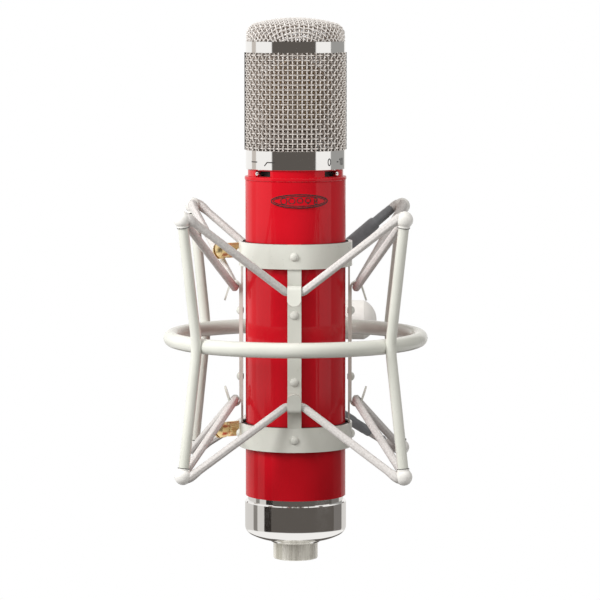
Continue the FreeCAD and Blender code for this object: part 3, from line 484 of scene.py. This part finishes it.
def keep(item, finish, body=None, *nodes):
    """Finishes a new piece: its material and slot, the body it rides on and the nodes it stands for."""
    paint(item, finish)
    if nodes:
        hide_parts(*nodes)
    if body:
        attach(item, body)
    return item


# ---------------------------------------------------------------- woven wire head

WIRE = 0.37 * MM
WEAVE = 0.36 * MM
HOOP_WIRE = WIRE * 0.94
WARP_COUNT = 66
WIRE_SIDES = 6
STEPS_PER_CROSSING = 5
RIB_WIDTH = 3.2 * MM


def side_mesh():
    """The woven cylinder, upright wires over and under level ones, in two halves between the ribs."""
    low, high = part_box("side_mesh")
    radius = (high.x - low.x) / 2 - WIRE - WEAVE
    rows = int((high.z - low.z) / (2 * math.pi * radius / WARP_COUNT))
    pitch = (high.z - low.z) / rows
    rib = math.asin((RIB_WIDTH / 2 + WIRE) / radius)
    warp, weft = [], []
    height = np.linspace(low.z, high.z, rows * STEPS_PER_CROSSING + 1)
    for index in range(WARP_COUNT):
        around = 2 * math.pi * index / WARP_COUNT
        if abs(math.sin(around)) < math.sin(rib):
            continue
        out = radius + WEAVE * np.cos(math.pi * ((height - low.z) / pitch - 0.5 + index))
        warp.append(bent_wire(out, np.full(len(height), around), height, WIRE))
    for half in (0, math.pi):
        around = np.linspace(half + rib, half + math.pi - rib, WARP_COUNT * STEPS_PER_CROSSING // 2)
        for index in range(rows):
            out = radius - WEAVE * np.cos(math.pi * index + around * WARP_COUNT / 2)
            level = np.full(len(around), low.z + (index + 0.5) * pitch)
            weft.append(bent_wire(out, around, level, HOOP_WIRE))
    keep(join_tubes("side_mesh_uprights", warp), mesh_steel, "microphone", "side_mesh")
    keep(join_tubes("side_mesh_hoops", weft), mesh_steel, "microphone")


def bent_wire(out, around, height, radius):
    """An open wire through points given round the microphone's axis."""
    angle = around + MIC_TURN
    path = np.stack([AXIS.x + out * np.cos(angle), AXIS.y + out * np.sin(angle), height], axis=1)
    return tube_grid(path, False, radius, WIRE_SIDES), False


DOME_SHOULDER = 5.6 * MM
DOME_ANGLE = math.radians(75)
DOME_WIRE = 0.34 * MM
DOME_PITCH = 2.06 * MM
FINE_WIRE = 0.2 * MM
FINE_COUNT = 128
FINE_SIDES = 5


def dome_profile(inset):
    """Radius, height and outward normal against the distance from the crown of the dome."""
    low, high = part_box("dome_mesh")
    reach = (high.x - low.x) / 2
    bend_out = reach - DOME_SHOULDER
    crown = (bend_out + DOME_SHOULDER * math.cos(DOME_ANGLE)) / math.cos(DOME_ANGLE)
    top = high.z - inset
    crown_arc = (crown - inset) * (math.pi / 2 - DOME_ANGLE)
    shoulder = DOME_SHOULDER - inset
    shoulder_arc = shoulder * DOME_ANGLE
    bend_up = top - (crown - inset) * (1 - math.sin(DOME_ANGLE)) - shoulder * math.sin(DOME_ANGLE)
    total = crown_arc + shoulder_arc + bend_up - low.z

    def at(distance):
        lean = np.where(distance < crown_arc, distance / (crown - inset),
                        math.pi / 2 - DOME_ANGLE + np.clip(distance - crown_arc, 0, shoulder_arc) / shoulder)
        on_crown = distance < crown_arc
        radius = np.where(on_crown, (crown - inset) * np.sin(lean), bend_out + shoulder * np.sin(lean))
        crown_height = top - (crown - inset) * (1 - np.cos(lean))
        height = np.where(on_crown, crown_height, bend_up + shoulder * np.cos(lean))
        height = height - np.clip(distance - crown_arc - shoulder_arc, 0, None)
        return radius, height, np.sin(lean), np.cos(lean)

    return at, total


def cloth_over_dome(name, inset, wire, weave, pitch, turn, step):
    """Square-woven wire cloth pressed over the dome."""
    at, total = dome_profile(inset)
    wires = []
    count = int(total / pitch)
    for family in (0, 1):
        for index in range(-count, count + 1):
            offset = index * pitch
            half = math.sqrt(max(total ** 2 - offset ** 2, 0))
            if half < 2 * pitch:
                continue
            run = np.linspace(-half, half, max(8, round(2 * half / step)))
            swing = weave * np.cos(math.pi * (run / pitch + index + family))
            across, along = (np.full(len(run), offset), run) if family else (run, np.full(len(run), offset))
            distance = np.hypot(across, along)
            angle = np.arctan2(along, across) + turn
            radius, height, out, up = at(distance)
            radius = radius + swing * out
            height = height + swing * up - AXIS.z
            path = np.stack([radius * np.cos(angle), radius * np.sin(angle), height], axis=1)
            wires.append((tube_grid(path + np.array(AXIS), False, wire, WIRE_SIDES), False))
    return join_tubes(name, wires)


def dome_cloth():
    """The coarse cloth of the dome and a finer one just inside it."""
    dome = cloth_over_dome("dome_mesh_wires", inset=2 * DOME_WIRE, wire=DOME_WIRE, weave=DOME_WIRE,
                           pitch=DOME_PITCH, turn=MIC_TURN, step=0.4 * MM)
    keep(dome, dome_steel, "microphone", "dome_mesh")
    liner = cloth_over_dome("dome_liner_wires", inset=1.6 * MM, wire=0.13 * MM, weave=0.0,
                            pitch=1.0 * MM, turn=MIC_TURN + 0.6, step=1.2 * MM)
    keep(liner, liner_steel, "microphone")


def inner_mesh():
    """The fine grid behind the side mesh: uprights with hoops round them."""
    low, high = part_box("inner_mesh")
    radius = (high.x - low.x) / 2 - FINE_WIRE
    upright_radius = radius - 2 * FINE_WIRE
    tubes = []
    for index in range(FINE_COUNT):
        angle = MIC_TURN + 2 * math.pi * index / FINE_COUNT
        x, y = AXIS.x + math.cos(angle) * upright_radius, AXIS.y + math.sin(angle) * upright_radius
        path = np.array([(x, y, low.z), (x, y, high.z)])
        tubes.append((tube_grid(path, False, FINE_WIRE, FINE_SIDES), False))
    angle = np.linspace(0, 2 * math.pi, FINE_COUNT, endpoint=False)
    x, y = AXIS.x + radius * np.cos(angle), AXIS.y + radius * np.sin(angle)
    for index in range(1, round((high.z - low.z) / MM)):
        path = np.stack([x, y, np.full(FINE_COUNT, low.z + index * MM)], axis=1)
        tubes.append((tube_grid(path, True, FINE_WIRE, FINE_SIDES), True))
    keep(join_tubes("inner_mesh_wires", tubes), liner_steel, "microphone", "inner_mesh")


# ---------------------------------------------------------------- elastics and sleeves

ELASTIC = 1.8 * MM
BALL_OUT = 66.77 * MM
BALL_UP = 55.02 * MM
LACING_OUT = -0.9 * MM
LACING_UP = 1.0 * MM
BALL_REACH = 2.0 * MM
BALL_BEND = 2.4 * MM
HOOK_REACH = 3.8 * MM
HOOK_BEND = 3.0 * MM
HOOK_OUT = 26.7 * MM
HOOK_STATION = 24.9 * MM
CAP_FILL = 0.36 * MM
SWELL_START, SWELL_END = 4.4 * MM, 7.5 * MM


def rounded(corners, bends, steps=10):
    """Points along a closed loop of straight runs and arcs, and where each arc starts and stops."""
    points, ends = [], []
    count = len(corners)
    for index, (corner, bend) in enumerate(zip(corners, bends)):
        before, after = corners[index - 1], corners[(index + 1) % count]
        inward, outward = (before - corner).normalized(), (after - corner).normalized()
        turn = math.pi - inward.angle(outward)
        centre = corner + (inward + outward).normalized() * (bend / math.cos(turn / 2))
        setback = bend * math.tan(turn / 2)
        start, stop = corner + inward * setback, corner + outward * setback
        axis = (start - centre).cross(stop - centre)
        for step in range(steps + 1):
            points.append(centre + Matrix.Rotation(turn * step / steps, 3, axis) @ (start - centre))
        ends.append((start, stop))
    return np.array(points), ends


def elastic_route(flip):
    """The loop through four caps and four hooks; flip is 1 for the upper elastic and -1 for the lower."""
    ball_height = AXIS.z + flip * (BALL_UP + LACING_UP)
    hook_height = CRADLE.z + flip * HOOK_STATION
    corners, bends = [], []
    for azimuth in (270, 315, 0, 45, 90, 135, 180, 225):
        at_ball = azimuth % 90 != 0
        turn = Matrix.Rotation(math.radians(azimuth), 3, "Z")
        out, reach = (BALL_OUT + LACING_OUT, BALL_REACH) if at_ball else (HOOK_OUT, HOOK_REACH)
        for side in (-1, 1):
            flat = turn @ Vector((out, side * reach, 0))
            height = ball_height if at_ball else hook_height
            corners.append(Vector((AXIS.x + flat.x, AXIS.y + flat.y, height)))
            bends.append(BALL_BEND if at_ball else HOOK_BEND)
    return rounded(corners, bends)


BRAID_STRANDS = 14
BRAID_LAY = 9 * MM
BRAID_STEP = 0.24 * MM
BRAID_RELIEF = 0.2 * MM
BRAID_SHARE = 0.35
CORD_SIDES = 42
CORD_RIBS = 7


def braid(rows, sides, length):
    """Heights from 0 to 1 of a plain braid wrapped round a cord of that length."""
    along = np.linspace(0, length, rows, endpoint=False)[:, None]
    around = np.linspace(0, 1, sides, endpoint=False)[None, :]
    lays = max(1, round(length / BRAID_LAY))
    right = BRAID_STRANDS * (around + lays * along / length)
    left = BRAID_STRANDS * (around - lays * along / length)
    over = (np.floor(right) + np.floor(left)) % 2 == 0
    hump_right = np.sin(math.pi * (right % 1))
    hump_left = np.sin(math.pi * (left % 1))
    across, lengthwise = np.where(over, hump_right, hump_left), np.where(over, hump_left, hump_right)
    return across ** 0.7 * (0.5 + 0.5 * lengthwise)


def elastic(label, flip):
    """The braided elastic, which stretches between the frame's ball caps and the cradle's hooks."""
    points, _ = elastic_route(flip)
    path, length = resampled(points, BRAID_STEP, True)
    ribs = np.abs(np.sin(np.linspace(0, CORD_RIBS * math.pi, CORD_SIDES, endpoint=False)))[None, :]
    diagonal = BALL_OUT * math.sqrt(0.5)
    centres = [(AXIS.x + x * diagonal, AXIS.y + y * diagonal, AXIS.z + flip * BALL_UP)
               for x in (-1, 1) for y in (-1, 1)]
    from_cap = np.min([np.linalg.norm(path - centre, axis=1) for centre in centres], axis=0)
    swell = CAP_FILL * np.clip((SWELL_END - from_cap) / (SWELL_END - SWELL_START), 0, 1)[:, None]
    weave = BRAID_SHARE * braid(len(path), CORD_SIDES, length) + (1 - BRAID_SHARE) * ribs
    radius = ELASTIC + swell - BRAID_RELIEF * (1 - weave)
    item = join_tubes(f"{label}_braid", [(tube_grid(path, True, radius, CORD_SIDES), True)])
    keep(item, elastic_braid, None, label)
    stretch(item, flip)


def stretch(item, flip):
    """Bakes a piece of the suspension's placement into its mesh."""
    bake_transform(item)


SLEEVE_NECK = 2.15 * MM
SPLICE_BALL_ARC, SPLICE_HOOK_ARC = 7, 8


def sleeve(label, flip, wide, first, last, band=None):
    """The rubber sleeve over the elastic's splice, between two shares of its strand, and a band beyond it."""
    _, arcs = elastic_route(flip)
    start, stop = arcs[SPLICE_HOOK_ARC][0], arcs[SPLICE_BALL_ARC][1]
    strand = stop - start
    turn = strand.to_track_quat("Z", "Y").to_matrix().to_4x4()
    length = strand.length * (last - first)
    inside = ELASTIC + 0.05 * MM
    shares = [(0.0, inside), (0.0, SLEEVE_NECK - 0.1 * MM), (0.02, SLEEVE_NECK), (0.1, SLEEVE_NECK),
              (0.125, wide - 0.12 * MM), (0.15, wide), (0.63, wide), (0.66, wide - 0.15 * MM),
              (0.675, SLEEVE_NECK + 0.15 * MM), (0.88, SLEEVE_NECK + 0.1 * MM), (0.905, SLEEVE_NECK),
              (0.98, SLEEVE_NECK), (1.0, SLEEVE_NECK - 0.15 * MM), (1.0, inside)]
    profile = [(radius, share * length) for share, radius in shares]
    moulding = lathe(f"{label}_moulding", profile, 40, Matrix.Translation(start + strand * first) @ turn)
    keep(moulding, sleeve_rubber, None, label)
    stretch(moulding, flip)
    if band:
        profile = [(-0.1, -0.8), (0.2, -0.7), (0.3, -0.4), (0.3, 0.4), (0.2, 0.7), (-0.1, 0.8)]
        profile = [(ELASTIC + rise * MM, along * MM) for rise, along in profile]
        wrap = lathe(f"{label}_band", profile, 32, Matrix.Translation(start + strand * band) @ turn)
        keep(wrap, sleeve_rubber, None)
        stretch(wrap, flip)


# ---------------------------------------------------------------- seams under the ball caps

LEG_ANGLE = math.radians(8.6)
CAP_SKIRT = 3.4 * MM
SEAM_START, SEAM_END = CAP_SKIRT - 0.12 * MM, CAP_SKIRT + 0.16 * MM
SEAM_RADIUS = 2.69 * MM


def cap_seams():
    """The dark line where each ball cap ends on its post."""
    tubes = []
    for flip in (1, -1):
        for azimuth in (45, 135, 225, 315):
            spin = Matrix.Rotation(math.radians(azimuth), 3, "Z")
            down = spin @ Vector((-math.sin(LEG_ANGLE), 0, -flip * math.cos(LEG_ANGLE)))
            centre = AXIS + spin @ Vector((BALL_OUT, 0, 0)) + Vector((0, 0, flip * BALL_UP))
            path = np.array([centre + down * SEAM_START, centre + down * SEAM_END])
            tubes.append((tube_grid(path, False, SEAM_RADIUS, 32), False))
    keep(join_tubes("cap_seams", tubes), print_ink, "outer_frame")


# ---------------------------------------------------------------- rivets

RIVET_HEAD = 1.95 * MM
RIVET_RISE = 1.3 * MM
RIVET_SHANK = 1.2 * MM
RIVET_DEPTH = 1.9 * MM
HOOK_RIVET = (14.6 * MM, 24.7 * MM)


def dome_points(reach, rise, top, steps):
    """Radius and height down to the middle of a round cap, from its rim."""
    crown = (reach ** 2 + rise ** 2) / (2 * rise)
    outs = [reach * (1 - step / steps) for step in range(steps + 1)]
    return [(out, top - crown + math.sqrt(crown ** 2 - out ** 2)) for out in outs]


def rivets():
    """Domed rivets: on each strap one through either band and one through either hook strip."""
    low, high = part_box("upper_band")
    band_rivet = ((middle("upper_band").z - middle("lower_band").z) / 2, (high.x - low.x) / 2)
    sunk = -0.02 * MM
    profile = [(0, -RIVET_DEPTH), (RIVET_SHANK, -RIVET_DEPTH), (RIVET_SHANK, sunk), (RIVET_HEAD, sunk)]
    profile += dome_points(RIVET_HEAD, RIVET_RISE, RIVET_RISE, 12)
    spin = np.linspace(0, 2 * math.pi, 28, endpoint=False)
    out, rise = np.array(profile).T[:, :, None]
    tubes = []
    for azimuth in (0, 90, 180, 270):
        place = Matrix.Rotation(math.radians(azimuth), 3, "Z")
        for station, skin in (band_rivet, HOOK_RIVET):
            for flip in (1, -1):
                grid = np.stack([skin + rise + 0 * spin, out * np.cos(spin), -out * np.sin(spin)], axis=-1)
                grid = grid @ np.array(place.transposed()) + (AXIS.x, AXIS.y, CRADLE.z + flip * station)
                tubes.append((grid, False))
    keep(join_tubes("rivet_domes", tubes), rivet_steel, "cradle", "rivets")


# ---------------------------------------------------------------- clamp screws

SPLIT = math.radians(126.87)
SCREW_OUT = 29.0 * MM
SLOT_TURN = math.radians(20)


def thumbscrew(label, flip):
    """A clamp screw with a knurled barrel, a groove and a slotted, domed head."""
    shank = [(0, -7.9), (1.7, -7.9), (2.0, -7.6), (2.0, 2.75), (2.8, 2.75), (2.8, 7.9), (3.1, 8.0)]
    knurl_start, knurl_end, steps = 8.3, 16.4, 8
    barrel = [(3.35, height) for height in np.linspace(knurl_start, knurl_end, steps)]
    groove = [(3.0, 16.6), (2.9, 16.7), (2.9, 17.2), (3.0, 17.4)]
    head = [(3.3, 17.7), (3.5, 18.2), (3.6, 18.8), (3.6, 20.8), (3.5, 21.6)]
    cap = dome_points(3.5, 1.8, 23.4, 14)[1:]
    teeth, depth = 22, 0.4 * MM

    def knurl(radius, angle, height):
        notch = np.abs((teeth * angle / (2 * math.pi)) % 1 - 0.5) * 2
        inside = (height > (knurl_start - 0.01) * MM) & (height < (knurl_end + 0.01) * MM)
        return np.where(inside, radius - depth * notch ** 1.5, radius)

    outline = np.array(shank + barrel + groove + head + cap) * MM
    item = lathe(f"{label}_turned", outline, teeth * 8, ripple=knurl)
    slot_box = add_mesh(f"{label}_slot_tool", *block((-0.55, -5, 21.5), (0.55, 5, 24.5)), smooth=False)
    carve = item.modifiers.new("slot", "BOOLEAN")
    carve.operation, carve.solver, carve.object = "DIFFERENCE", "EXACT", slot_box
    applied(item)
    bpy.data.objects.remove(slot_box)
    station = middle("upper_band").z if flip > 0 else middle("lower_band").z
    split = Matrix.Rotation(SPLIT, 4, "Z") @ Matrix.Translation((SCREW_OUT, 0, 0))
    lay = Matrix.Rotation(math.radians(-90), 4, "X") @ Matrix.Rotation(SLOT_TURN, 4, "Z")
    item.data.transform(Matrix.Translation((AXIS.x, AXIS.y, station)) @ split @ lay)
    keep(item, brass, label, label)


def block(low, high):
    """Vertices and faces of a box, from corners in millimetres."""
    spans = list(zip(low, high))
    vertices = [Vector((x, y, z)) * MM for x in spans[0] for y in spans[1] for z in spans[2]]
    faces = [(0, 1, 3, 2), (4, 6, 7, 5), (0, 4, 5, 1), (2, 3, 7, 6), (0, 2, 6, 4), (1, 5, 7, 3)]
    return vertices, faces


# ---------------------------------------------------------------- badge and switch marks

def wrapped_strokes(name, strokes, radius, width, rise):
    """Raised lines on a cylinder. A stroke is (points, closed), each point an arc length and a height."""
    tubes = []
    for points, closed in strokes:
        path, _ = resampled(np.array([(x, 0, z) for x, z in points], float), width / 2, closed)
        flow = tangents(path, closed)
        side = np.stack([-flow[:, 2], np.zeros(len(flow)), flow[:, 0]], axis=1)
        corners = []
        for shift, lift in ((-1, 0.0), (-1, 0.75), (-0.7, 1.0), (0.7, 1.0), (1, 0.75), (1, 0.0)):
            flat = path + side * (shift * width / 2)
            angle = flat[:, 0] / radius
            out = radius + lift * rise
            corners.append(np.stack([out * np.sin(angle), -out * np.cos(angle), flat[:, 2]], axis=1))
        tubes.append((np.stack(corners, axis=1), closed))
    item = join_tubes(name, tubes)
    item.data.transform(MIC_FRAME)
    return item


def oval(length, width, height, radius, steps=72):
    """The outline of an oval that lies flat against a cylinder, centred at a height."""
    points = []
    for step in range(steps):
        angle = 2 * math.pi * step / steps
        around = math.asin(length / 2 * math.cos(angle) / radius)
        points.append((radius * around, height + width / 2 * math.sin(angle)))
    return points


BADGE_SKIN = 22.45 * MM
PATTERNS = (0.0, 0.35, 0.5, 0.65, 1.0)
PATTERN_STEP = 3.5 * MM
PATTERN_SIZE = 1.35 * MM


def pattern_sign(share, shift, height, steps=96):
    """The curve of a pick-up pattern; share 0 is a circle, 0.5 a heart and 1 a figure eight."""
    sink = 0.5 * MM if 0 < share < 1 else 0
    points = []
    for step in range(steps):
        angle = 2 * math.pi * step / steps
        reach = PATTERN_SIZE * abs(1 - share + share * math.sin(angle)) / max(1 - share, share, 0.72)
        points.append((shift + reach * math.cos(angle), height - sink + reach * math.sin(angle)))
    return points


def badge():
    """An oval rim, a fine line inside it and the signs of five pick-up patterns."""
    low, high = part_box("badge")
    height = (low.z + high.z) / 2 - AXIS.z
    wide = high.z - low.z
    long = 4 * wide
    rim_width, line_width = 0.5 * MM, 0.36 * MM
    rim = oval(long - rim_width, wide - rim_width, height, BADGE_SKIN)
    rim = wrapped_strokes("badge_rim", [(rim, True)], BADGE_SKIN, rim_width, 0.12 * MM)
    keep(rim, badge_metal, "microphone")
    strokes = [(oval(long - 2.4 * MM, wide - 2.0 * MM, height, BADGE_SKIN), True)]
    for index, share in enumerate(PATTERNS):
        strokes.append((pattern_sign(share, (index - 2) * PATTERN_STEP, height), True))
    keep(wrapped_strokes("badge_mark", strokes, BADGE_SKIN, line_width, 0.1 * MM), badge_metal, "microphone")


def switch_marks():
    """Printed signs above the two slide switches: flat and sloped response, 0 and -10."""
    low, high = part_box("base_ring")
    radius = (high.x - low.x) / 2
    middle_height = (low.z + high.z) / 2 - AXIS.z - 0.7 * MM
    strokes = []

    def place(points, degrees, closed=False):
        shift = math.radians(degrees) * radius
        strokes.append(([(shift + x * MM, middle_height + z * MM) for x, z in points], closed))

    turn = [math.radians(degrees) for degrees in range(0, 360, 15)]
    zero = [(0.75 * math.cos(angle), 1.45 * math.sin(angle)) for angle in turn]
    place([(-2.2, 0), (2.2, 0)], -60.3)
    place([(-2.6, -1.6), (-1.2, 0), (2.6, 0)], -36.2)
    place(zero, 37.4, True)
    place([(-3.1, 0), (-1.9, 0)], 58.6)
    place([(-0.9, 0.85), (-0.1, 1.45), (-0.1, -1.45)], 58.6)
    place([(x + 1.75, z) for x, z in zero], 58.6, True)
    marks = wrapped_strokes("switch_marks", strokes, radius, 0.5 * MM, 0.02 * MM)
    keep(marks, print_ink, "microphone")


# ---------------------------------------------------------------- studio

def new_node(tree, kind, **values):
    node = tree.nodes.new(kind)
    for name, value in values.items():
        setattr(node, name, value)
    return node


WHITE, BEIGE, GREY = (1.0, 0.985, 0.96), (0.62, 0.57, 0.52), (0.36, 0.355, 0.34)
PALE, TAUPE, MIDDLE = (0.72, 0.70, 0.67), (0.26, 0.245, 0.225), (0.2, 0.186, 0.174)
DARK, BLACK = (0.115, 0.103, 0.092), (0.03, 0.025, 0.022)
FULL_WHITE = (1, 1, 1)
WARM_LIGHT = (1.0, 0.95, 0.90)
LIGHT_LEVEL = 0.385
LIGHT_LEAST = 0.02
LIGHT_LEAN = (-0.16, -0.05, 0.26)
SOFT_EDGE = 0.5
UPPER_SCREENS = [(-180, WHITE), (-120, BEIGE), (-103, WHITE), (-55, DARK), (49, WHITE), (91, GREY),
                 (155, WHITE)]
LOWER_SCREENS = [(-180, PALE), (-111, TAUPE), (-96.6, PALE), (-75, BLACK), (-56.3, DARK), (99, MIDDLE),
                 (132, PALE)]


def math_node(tree, operation, first, second):
    """The output of a sum on an output and either another output or a number."""
    node = new_node(tree, "ShaderNodeMath", operation=operation)
    tree.links.new(first, node.inputs[0])
    if isinstance(second, (int, float)):
        node.inputs[1].default_value = second
    else:
        tree.links.new(second, node.inputs[1])
    return node.outputs[0]


def fade(tree, value, start, stop):
    """A share that goes smoothly from 0 to 1 as the value goes from start to stop."""
    node = new_node(tree, "ShaderNodeMapRange", interpolation_type="SMOOTHSTEP")
    node.inputs["From Min"].default_value = start
    node.inputs["From Max"].default_value = stop
    tree.links.new(value, node.inputs["Value"])
    return node.outputs["Result"]


def blended(tree, share, first, second):
    """The mix of two colours; each is an output or a plain colour."""
    node = new_node(tree, "ShaderNodeMix", data_type="RGBA")
    tree.links.new(share, node.inputs["Factor"])
    for socket, colour in (("A", first), ("B", second)):
        if isinstance(colour, tuple):
            node.inputs[socket].default_value = (*colour, 1)
        else:
            tree.links.new(colour, node.inputs[socket])
    return node.outputs["Result"]


def screens(tree, azimuth, walls):
    """Upright screens round the room, each from an angle to the next one's; 0 is the front."""
    ramp = new_node(tree, "ShaderNodeValToRGB")
    tree.links.new(azimuth, ramp.inputs["Fac"])
    stops = []
    for index, (angle, colour) in enumerate(walls):
        if index:
            stops.append(((angle - SOFT_EDGE + 180) / 360, walls[index - 1][1]))
        stops.append(((angle + SOFT_EDGE + 180) / 360, colour))
    elements = ramp.color_ramp.elements
    for index, (position, colour) in enumerate(stops):
        element = elements[index] if index < 2 else elements.new(position)
        element.position = position
        element.color = (*colour, 1)
    return ramp.outputs["Color"]


def room(tree, direction):
    """What shiny skins mirror: a white room with side screens, and darkness behind and below."""
    split = new_node(tree, "ShaderNodeSeparateXYZ")
    tree.links.new(direction, split.inputs["Vector"])
    side, height = split.outputs["X"], split.outputs["Z"]
    front = math_node(tree, "MULTIPLY", split.outputs["Y"], -1)
    azimuth = new_node(tree, "ShaderNodeMapRange")
    azimuth.inputs["From Min"].default_value = -math.pi
    azimuth.inputs["From Max"].default_value = math.pi
    tree.links.new(math_node(tree, "ARCTAN2", side, front), azimuth.inputs["Value"])
    upper = screens(tree, azimuth.outputs["Result"], UPPER_SCREENS)
    lower = screens(tree, azimuth.outputs["Result"], LOWER_SCREENS)
    colour = blended(tree, fade(tree, height, -0.118, -0.128), upper, lower)
    colour = blended(tree, fade(tree, height, -0.26, -0.34), colour, WHITE)
    colour = blended(tree, fade(tree, height, 0.45, 0.7), colour, WHITE)
    behind_below = height
    for _ in range(3):
        behind_below = math_node(tree, "MULTIPLY", front, behind_below)
    return blended(tree, fade(tree, behind_below, 0.22, 0.27), colour, DARK)


def soft_light(tree, direction):
    """The light on matt skins: warm, and stronger from above and the left."""
    lean = new_node(tree, "ShaderNodeVectorMath", operation="DOT_PRODUCT")
    tree.links.new(direction, lean.inputs[0])
    lean.inputs[1].default_value = LIGHT_LEAN
    level = math_node(tree, "ADD", lean.outputs["Value"], LIGHT_LEVEL)
    warm = new_node(tree, "ShaderNodeVectorMath", operation="SCALE")
    warm.inputs[0].default_value = WARM_LIGHT
    tree.links.new(math_node(tree, "MAXIMUM", level, LIGHT_LEAST), warm.inputs["Scale"])
    return warm.outputs["Vector"]


def studio_world():
    """The surroundings: white to the camera, a room to reflections and soft light to all else."""
    world = bpy.data.worlds.new("studio")
    bpy.context.scene.world = world
    world.use_nodes = True
    world.cycles.sampling_method = "NONE"
    tree = world.node_tree
    direction = new_node(tree, "ShaderNodeTexCoord").outputs["Generated"]
    rays = new_node(tree, "ShaderNodeLightPath").outputs
    lit = blended(tree, rays["Is Glossy Ray"], soft_light(tree, direction), room(tree, direction))
    seen = blended(tree, rays["Is Camera Ray"], lit, FULL_WHITE)
    tree.links.new(seen, tree.nodes["Background"].inputs["Color"])


def floor():
    """A small white floor well below the microphone, which hangs from its stand."""
    depth = CAD_BOX[0].z - 0.3
    half = 0.9
    corners = [(-half, -half, depth), (half, -half, depth), (half, half, depth), (-half, half, depth)]
    sheet = add_mesh("floor", corners, [(0, 1, 2, 3)])
    material = bpy.data.materials.new("floor_white")
    material.use_nodes = True
    tree = material.node_tree
    tree.nodes.remove(tree.nodes["Principled BSDF"])
    glow = tree.nodes.new("ShaderNodeEmission")
    tree.links.new(glow.outputs["Emission"], tree.nodes["Material Output"].inputs["Surface"])
    sheet.data.materials.append(material)
    sheet.visible_glossy = False
    sheet.visible_diffuse = False


def softbox(name, offset, size, power):
    """A soft light that points at the middle of the mount and shows in no reflection."""
    data = bpy.data.lights.new(name, "AREA")
    data.shape = "RECTANGLE"
    data.size, data.size_y = size
    data.energy = power
    light = bpy.data.objects.new(name, data)
    light.location = AXIS + Vector(offset)
    light.rotation_mode = "QUATERNION"
    light.rotation_quaternion = (AXIS - light.location).to_track_quat("-Z", "Y")
    light.visible_glossy = False
    light.visible_camera = False
    bpy.context.scene.collection.objects.link(light)


def studio():
    studio_world()
    floor()
    softbox("key_left", (-0.42, -0.30, 0.28), (0.25, 0.35), 3.7)
    softbox("key_right", (0.40, -0.34, 0.22), (0.25, 0.35), 0.9)
    bpy.context.scene.view_settings.view_transform = "Standard"


SENSOR_WIDTH, LENS = 36, 198.8
CAMERA_AT = Vector((29, -1450, 150)) * MM
CAMERA_AIM = Vector((1.95, 0, 16.5)) * MM


def camera():
    data = bpy.data.cameras.new("camera")
    data.sensor_width = SENSOR_WIDTH
    data.lens = LENS
    item = bpy.data.objects.new("camera", data)
    item.location = AXIS + CAMERA_AT
    item.rotation_mode = "QUATERNION"
    item.rotation_quaternion = (AXIS + CAMERA_AIM - item.location).to_track_quat("-Z", "Y")
    bpy.context.scene.collection.objects.link(item)
    bpy.context.scene.camera = item


camera()
studio()
paint_nodes()
side_mesh()
dome_cloth()
inner_mesh()
elastic("upper_elastic", 1)
elastic("lower_elastic", -1)
sleeve("upper_sleeve", 1, 3.0 * MM, 0.4, 0.965)
sleeve("lower_sleeve", -1, 2.6 * MM, 0.16, 0.72, 0.86)
cap_seams()
rivets()
thumbscrew("upper_thumbscrew", 1)
thumbscrew("lower_thumbscrew", -1)
badge()
switch_marks()
